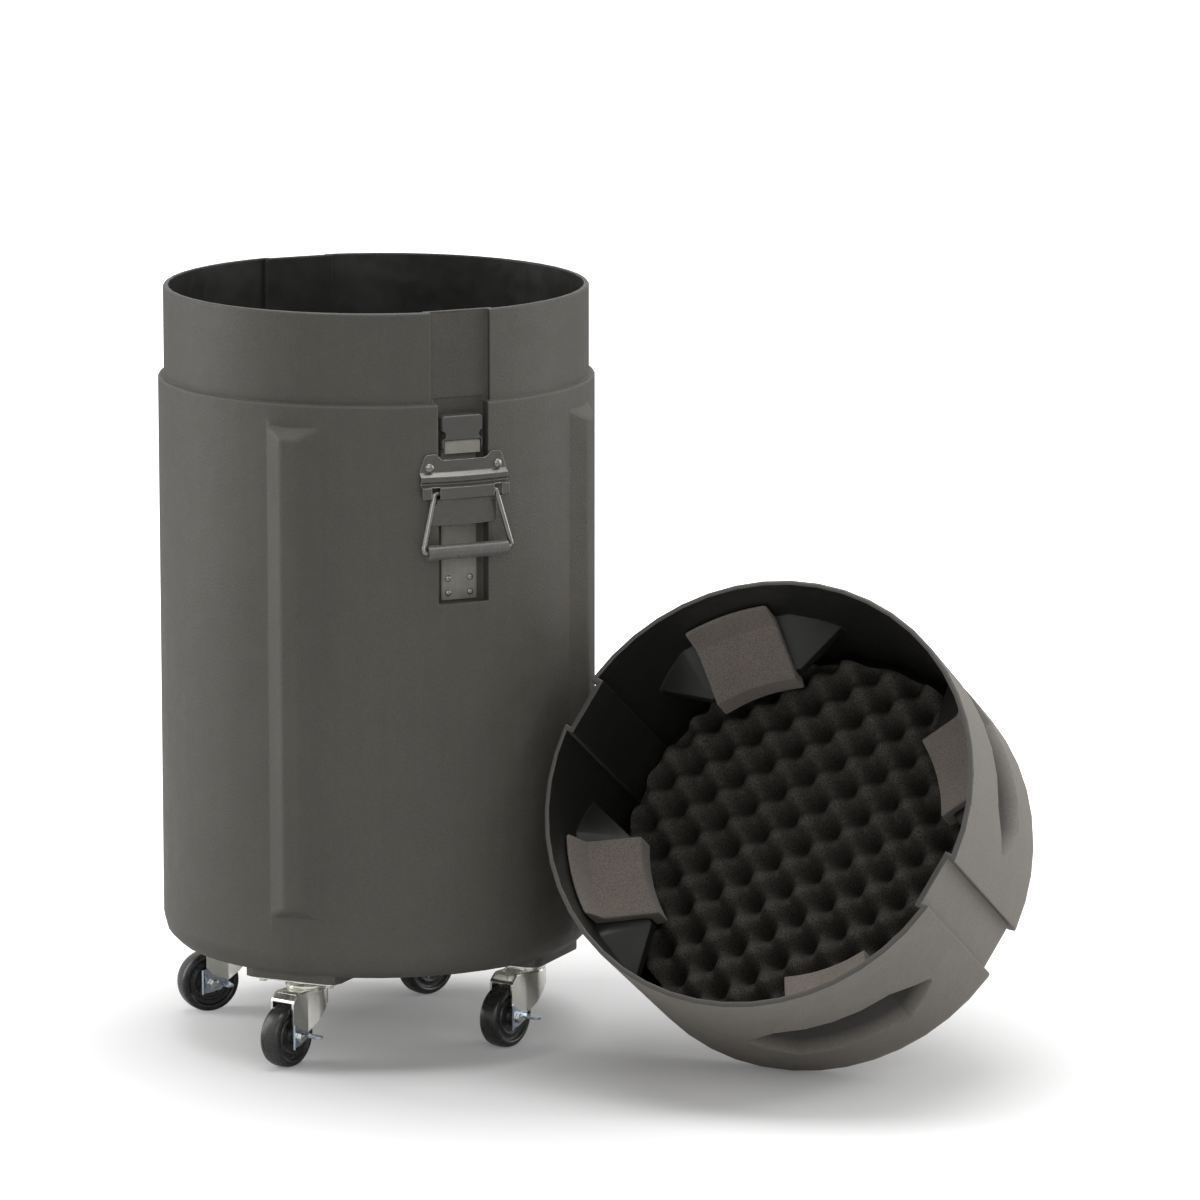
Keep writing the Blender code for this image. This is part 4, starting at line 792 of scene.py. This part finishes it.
class CONGA_OT_straps(bpy.types.Operator):
    """Webbing straps in the latch recesses and their loops through the buckles"""
    bl_idname = "conga_case.straps"
    bl_label = "Straps"

    def execute(self, context):
        look = settings().trim
        middle, _ = case_axis()
        webbing = woven_webbing("strap_webbing", look, middle)
        for side in SIDES:
            low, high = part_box(side + "_strap")
            thickness = high.y - low.y
            worn = thickness * 0.9
            flat = (low.y + high.y) / 2
            steps = ceil((high.z - low.z) / 0.003)
            path = [(flat, low.z + (high.z - low.z) * step / steps) for step in range(steps + 1)]
            work = bmesh.new()
            banded(work, path, high.x - low.x, worn, middle)
            made_piece(side + "_strap_web", work, [webbing], "case",
                       [side + "_strap"])
            low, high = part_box(side + "_buckle_web")
            inside, outside = low.y + thickness / 2, high.y - thickness / 2
            crest = high.z + look.slot - thickness / 2
            loop = rounded_profile([(inside, low.z), (inside, crest), (outside, crest),
                                    (outside, low.z)], 0.0024)
            work = bmesh.new()
            banded(work, loop, high.x - low.x, worn, middle)
            made_piece(side + "_strap_loop", work, [webbing], side + "_buckle",
                       [side + "_buckle_web"])
        return {"FINISHED"}


class CONGA_OT_buckles(bpy.types.Operator):
    """Moulded finish for the side-release buckles"""
    bl_idname = "conga_case.buckles"
    bl_label = "Buckles"

    def execute(self, context):
        look = settings().trim
        body = fine_plastic("buckle_body", look.buckle, 0.38, 0.0008)
        dressed([side + "_buckle" for side in SIDES], body)
        return {"FINISHED"}


def domed(work, spot, direction, radius, height):
    """Add a domed rivet head that stands on a spot."""
    steps = 6
    profile = [(radius, -0.0004), (radius, 0)]
    profile += [(radius * cos(pi / 2 * step / steps), height * sin(pi / 2 * step / steps))
                for step in range(1, steps)]
    turned(work, profile + [(0, height)], 28, toward(spot, direction))


class CONGA_OT_handles(bpy.types.Operator):
    """Pressed handle plates, wire bails, grips and rivets"""
    bl_idname = "conga_case.handles"
    bl_label = "Handles"

    def execute(self, context):
        look = settings().trim
        plate = plated_metal("handle_plating", look.handle, 0.29, look.handle_edge, 0.0012,
                             (60, 60, 1400), 0.72)
        wire = plated_metal("bail_wire", look.wire, 0.25, look.wire, 0.0003, (400, 400, 400), 0.8)
        tube = fine_plastic("grip_tube", look.grip, 0.25, 0.0006, 0.04)
        dressed([side + "_handle_plate" for side in SIDES], plate)
        rivets = [f"{side}_handle_rivet_{hand}" for side in SIDES for hand in HANDS]
        dressed([side + piece for side in SIDES for piece in ("_bail", "_strap_rivets")] + rivets,
                wire, 50)
        axis_x, axis_y = case_axis()
        plate_head, strap_head = (0.0047, 0.0022), (0.0033, 0.0015)    # radius and height
        plate_sink, strap_sink = 0.0015, 0.001
        for side, out in (("front", -1), ("back", 1)):
            low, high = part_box(side + "_grip")
            centre = (low + high) / 2
            radius = min(high.y - low.y, high.z - low.z) / 2
            half = (high.x - low.x) / 2
            bore, turned_in, edge_round = 0.0031, half - 0.004, 0.0013
            profile = rounded_profile([(bore, -turned_in), (bore, -half), (radius, -half),
                                       (radius, half), (bore, half), (bore, turned_in)],
                                      edge_round)
            work = bmesh.new()
            turned(work, profile, 40, toward(centre, (1, 0, 0)))
            made_piece(side + "_grip_tube", work, [tube], side + "_bail",
                       [side + "_grip"])
            work = bmesh.new()
            for hand in HANDS:
                spots = [vertex.co for vertex in
                         frame["nodes"][f"{side}_handle_rivet_{hand}"].data.vertices]
                middle = sum(spots, Vector()) / len(spots)
                spoke = Vector((middle.x - axis_x, middle.y - axis_y, 0)).normalized()
                reach = max(Vector((spot.x - axis_x, spot.y - axis_y, 0)).dot(spoke)
                            for spot in spots)
                seat = Vector((axis_x, axis_y, middle.z)) + spoke * (reach - plate_sink)
                domed(work, seat, spoke, *plate_head)
            low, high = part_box(side + "_strap_rivets")
            face = (low.y if out < 0 else high.y) - out * strap_sink
            for x in (-0.012, 0.012):
                for z in (-0.0075, 0.0075):
                    spot = (axis_x + x, face, (low.z + high.z) / 2 + z)
                    domed(work, spot, (0, out, 0), *strap_head)
            made_piece(side + "_rivet_heads", work, [wire], "case")
        return {"FINISHED"}


class CONGA_OT_casters(bpy.types.Operator):
    """Zinc plates, forks and levers of the four casters"""
    bl_idname = "conga_case.casters"
    bl_label = "Casters"

    def execute(self, context):
        look = settings().caster
        zinc = plated_metal("bright_zinc", look.zinc, 0.24, lighter(look.zinc, 0.5),
                            look.edge_round)
        blue = plated_metal("blue_zinc_lever", look.lever, 0.24, lighter(look.lever, 0.5),
                            look.edge_round)
        steel = plated_metal("caster_steel", settings().trim.steel, 0.26,
                             lighter(settings().trim.steel, 0.4), look.edge_round)
        for place in PLACES:
            base = f"caster_{place}_"
            dressed([base + "plate", base + "fork"], zinc)
            dressed([base + "brake_lever"], blue)
            dressed([base + "axle", base + "fixing"], steel)
        return {"FINISHED"}


class CONGA_OT_wheels(bpy.types.Operator):
    """Turned wheels with a raised hub, a ringed cheek and a crowned tread"""
    bl_idname = "conga_case.wheels"
    bl_label = "Wheels"

    def execute(self, context):
        look = settings().caster
        core = wheel_plastic("wheel_core", look)
        tread = wheel_plastic("wheel_tread", look, 0.08)
        steel = settings().trim.steel
        bush = plated_metal("wheel_bush", steel, 0.3, lighter(steel, 0.4), look.edge_round)
        radius, bore, lining, hub, half = 0.0325, 0.0033, 0.0052, 0.0116, 0.0110
        flat = 0.0060                                  # half width of the crowned tread
        segments = 72
        cheek = rounded_profile([
            (lining, hub), (0.0085, hub), (0.0092, 0.0086), (0.0160, 0.0080), (0.0168, 0.0092),
            (0.0192, 0.0092), (0.0200, 0.0080), (0.0236, 0.0080), (0.0250, 0.0104),
            (0.0262, half),
        ], 0.0006, 3)
        shoulder = rounded_profile([(0.0262, half), (0.0308, half - 0.0006),
                                    (radius - look.crown, 0.0066), (radius - look.crown, flat)],
                                   0.0042, 6)
        crowned = [(radius - look.crown * (y / flat) ** 2, y)
                   for y in (flat, 0.0045, 0.003, 0.0015, 0, -0.0015, -0.003, -0.0045, -flat)]
        other = mirrored(reversed(shoulder))
        joints = {joint["name"]: joint for joint in frame["joints"]}
        for place in PLACES:
            roll = joints[place + "_roll"]
            matrix = toward(roll["pos_m"], roll["axis"])
            work = bmesh.new()
            for profile, material in (
                    ([(bore, -hub), (bore, hub)], 2), ([(bore, hub), (lining, hub)], 2),
                    ([(bore, -hub), (lining, -hub)], 2), (cheek, 0), (mirrored(cheek), 0),
                    (shoulder + crowned[1:] + other[1:], 1)):
                turned(work, profile, segments, matrix, material)
            made_piece(place + "_turned_wheel", work, [core, tread, bush], place + "_wheel",
                       [f"caster_{place}_wheel"])
        return {"FINISHED"}


def softbox(name, power, size, spot, target, scene):
    lamp = bpy.data.lights.new(name, "AREA")
    lamp.shape = "RECTANGLE"
    lamp.size, lamp.size_y = size
    lamp.energy = power
    item = bpy.data.objects.new(name, lamp)
    item.location = spot
    item.rotation_euler = (Vector(target) - Vector(spot)).to_track_quat("-Z", "Y").to_euler()
    scene.collection.objects.link(item)


def studio_floor(look):
    """Pale floor that turns to plain white away from the object and keeps its shadows."""
    finish = Finish("studio_floor")
    away = finish.vector("LENGTH", finish.place, output="Value")
    lift = finish.spread(away, 0.28, 0.75, look.floor_lift, look.floor_lift_near)
    lift = lift + finish.spread(away, 0.75, 2.2, 0, 1.0)
    cloth = finish.noise(1.3, 2)
    tone = finish.shaded(tuple(look.floor), finish.mottle(cloth, 0.985, 1.0))
    paint = finish.node("ShaderNodeBsdfDiffuse", None, {"Color": tone})
    seen = finish.node("ShaderNodeLightPath", output="Is Camera Ray")
    glow = finish.node("ShaderNodeEmission", None, {"Color": lift, "Strength": seen})
    finish.show(finish.node("ShaderNodeAddShader", None, {0: paint, 1: glow}), "Principled BSDF")
    return finish.material


def studio_world(look, scene):
    """Even light for the object, brighter to what mirrors it and white to the camera."""
    world = bpy.data.worlds.new("studio_world")
    scene.world = world
    sky = NodeWork(world)

    def even(strength):
        return sky.node("ShaderNodeBackground", None, {"Color": 1, "Strength": strength})

    path = sky.node("ShaderNodeLightPath", output="Is Camera Ray")
    on_object = sky.node("ShaderNodeMixShader", None, {
        0: path.beside("Is Glossy Ray"), 1: even(look.ambient), 2: even(look.mirrored)})
    sky.show(sky.node("ShaderNodeMixShader", None, {0: path, 1: on_object, 2: even(1.0)}),
             "Background")


class CONGA_OT_studio(bpy.types.Operator):
    """Pale floor, soft lights and the camera"""
    bl_idname = "conga_case.studio"
    bl_label = "Studio"

    def execute(self, context):
        look = settings().studio
        scene = context.scene
        axis_x, axis_y = case_axis()
        work = bmesh.new()
        bmesh.ops.create_circle(work, cap_ends=True, segments=96, radius=14)
        mesh = bpy.data.meshes.new("floor")
        work.to_mesh(mesh)
        work.free()
        mesh.materials.append(studio_floor(look))
        floor = bpy.data.objects.new("floor", mesh)
        scene.collection.objects.link(floor)
        studio_world(look, scene)
        scene.view_settings.view_transform = "Standard"

        right = Vector((cos(look.heading), -sin(look.heading), 0))
        ahead = Vector((sin(look.heading), cos(look.heading), 0))
        centre = Vector((0, 0, 0.4))
        for name, power, size, across, along, up in (
                ("left_softbox", look.left_power, (1.4, 2.2), -2.6, 0.3, 0.8),
                ("right_softbox", look.right_power, (1.4, 2.2), 2.7, 0.2, 0.8),
                ("top_softbox", look.top_power, (2.6, 2.6), 0, 0.3, 2.9),
                ("front_fill", look.front_power, (2.4, 1.8), 0, -3.4, 1.4)):
            spot = centre + right * across + ahead * along + Vector((0, 0, up))
            softbox(name, power, size, spot, centre, scene)

        lens = bpy.data.cameras.new("camera")
        lens.sensor_width = SENSOR
        lens.lens = look.lens_pixels * SENSOR / IMAGE_WIDTH
        camera = bpy.data.objects.new("camera", lens)
        camera.location = (axis_x - look.away * sin(look.bearing),
                           axis_y - look.away * cos(look.bearing), look.height)
        camera.rotation_euler = (pi / 2 - look.pitch, 0, -look.heading)
        scene.collection.objects.link(camera)
        scene.camera = camera
        return {"FINISHED"}


class CONGA_PT_case(bpy.types.Panel):
    """Conga case pieces"""
    bl_label = "Conga case"
    bl_idname = "CONGA_PT_case"
    bl_space_type = "VIEW_3D"
    bl_region_type = "UI"
    bl_category = "Conga case"

    def draw(self, context):
        for operator in OPERATORS:
            self.layout.operator(operator.bl_idname)
        for group in ("shell", "foam", "trim", "caster", "studio"):
            held = getattr(context.scene.conga_case, group)
            box = self.layout.box()
            for name in held.__annotations__:
                box.prop(held, name)


GROUPS = (ShellSettings, FoamSettings, TrimSettings, CasterSettings, StudioSettings,
          CongaCaseSettings)
OPERATORS = (CONGA_OT_shells, CONGA_OT_floor_foam, CONGA_OT_egg_crate, CONGA_OT_lid_pads,
             CONGA_OT_straps, CONGA_OT_buckles, CONGA_OT_handles, CONGA_OT_casters,
             CONGA_OT_wheels, CONGA_OT_studio)


def register():
    for item in (*GROUPS, *OPERATORS, CONGA_PT_case):
        bpy.utils.register_class(item)
    bpy.types.Scene.conga_case = PointerProperty(type=CongaCaseSettings)


def unregister():
    del bpy.types.Scene.conga_case
    for item in reversed((*GROUPS, *OPERATORS, CONGA_PT_case)):
        bpy.utils.unregister_class(item)


def main():
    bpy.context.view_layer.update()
    register()
    for operator in OPERATORS:
        group, name = operator.bl_idname.split(".")
        getattr(getattr(bpy.ops, group), name)()


if __name__ == "__main__":
    main()
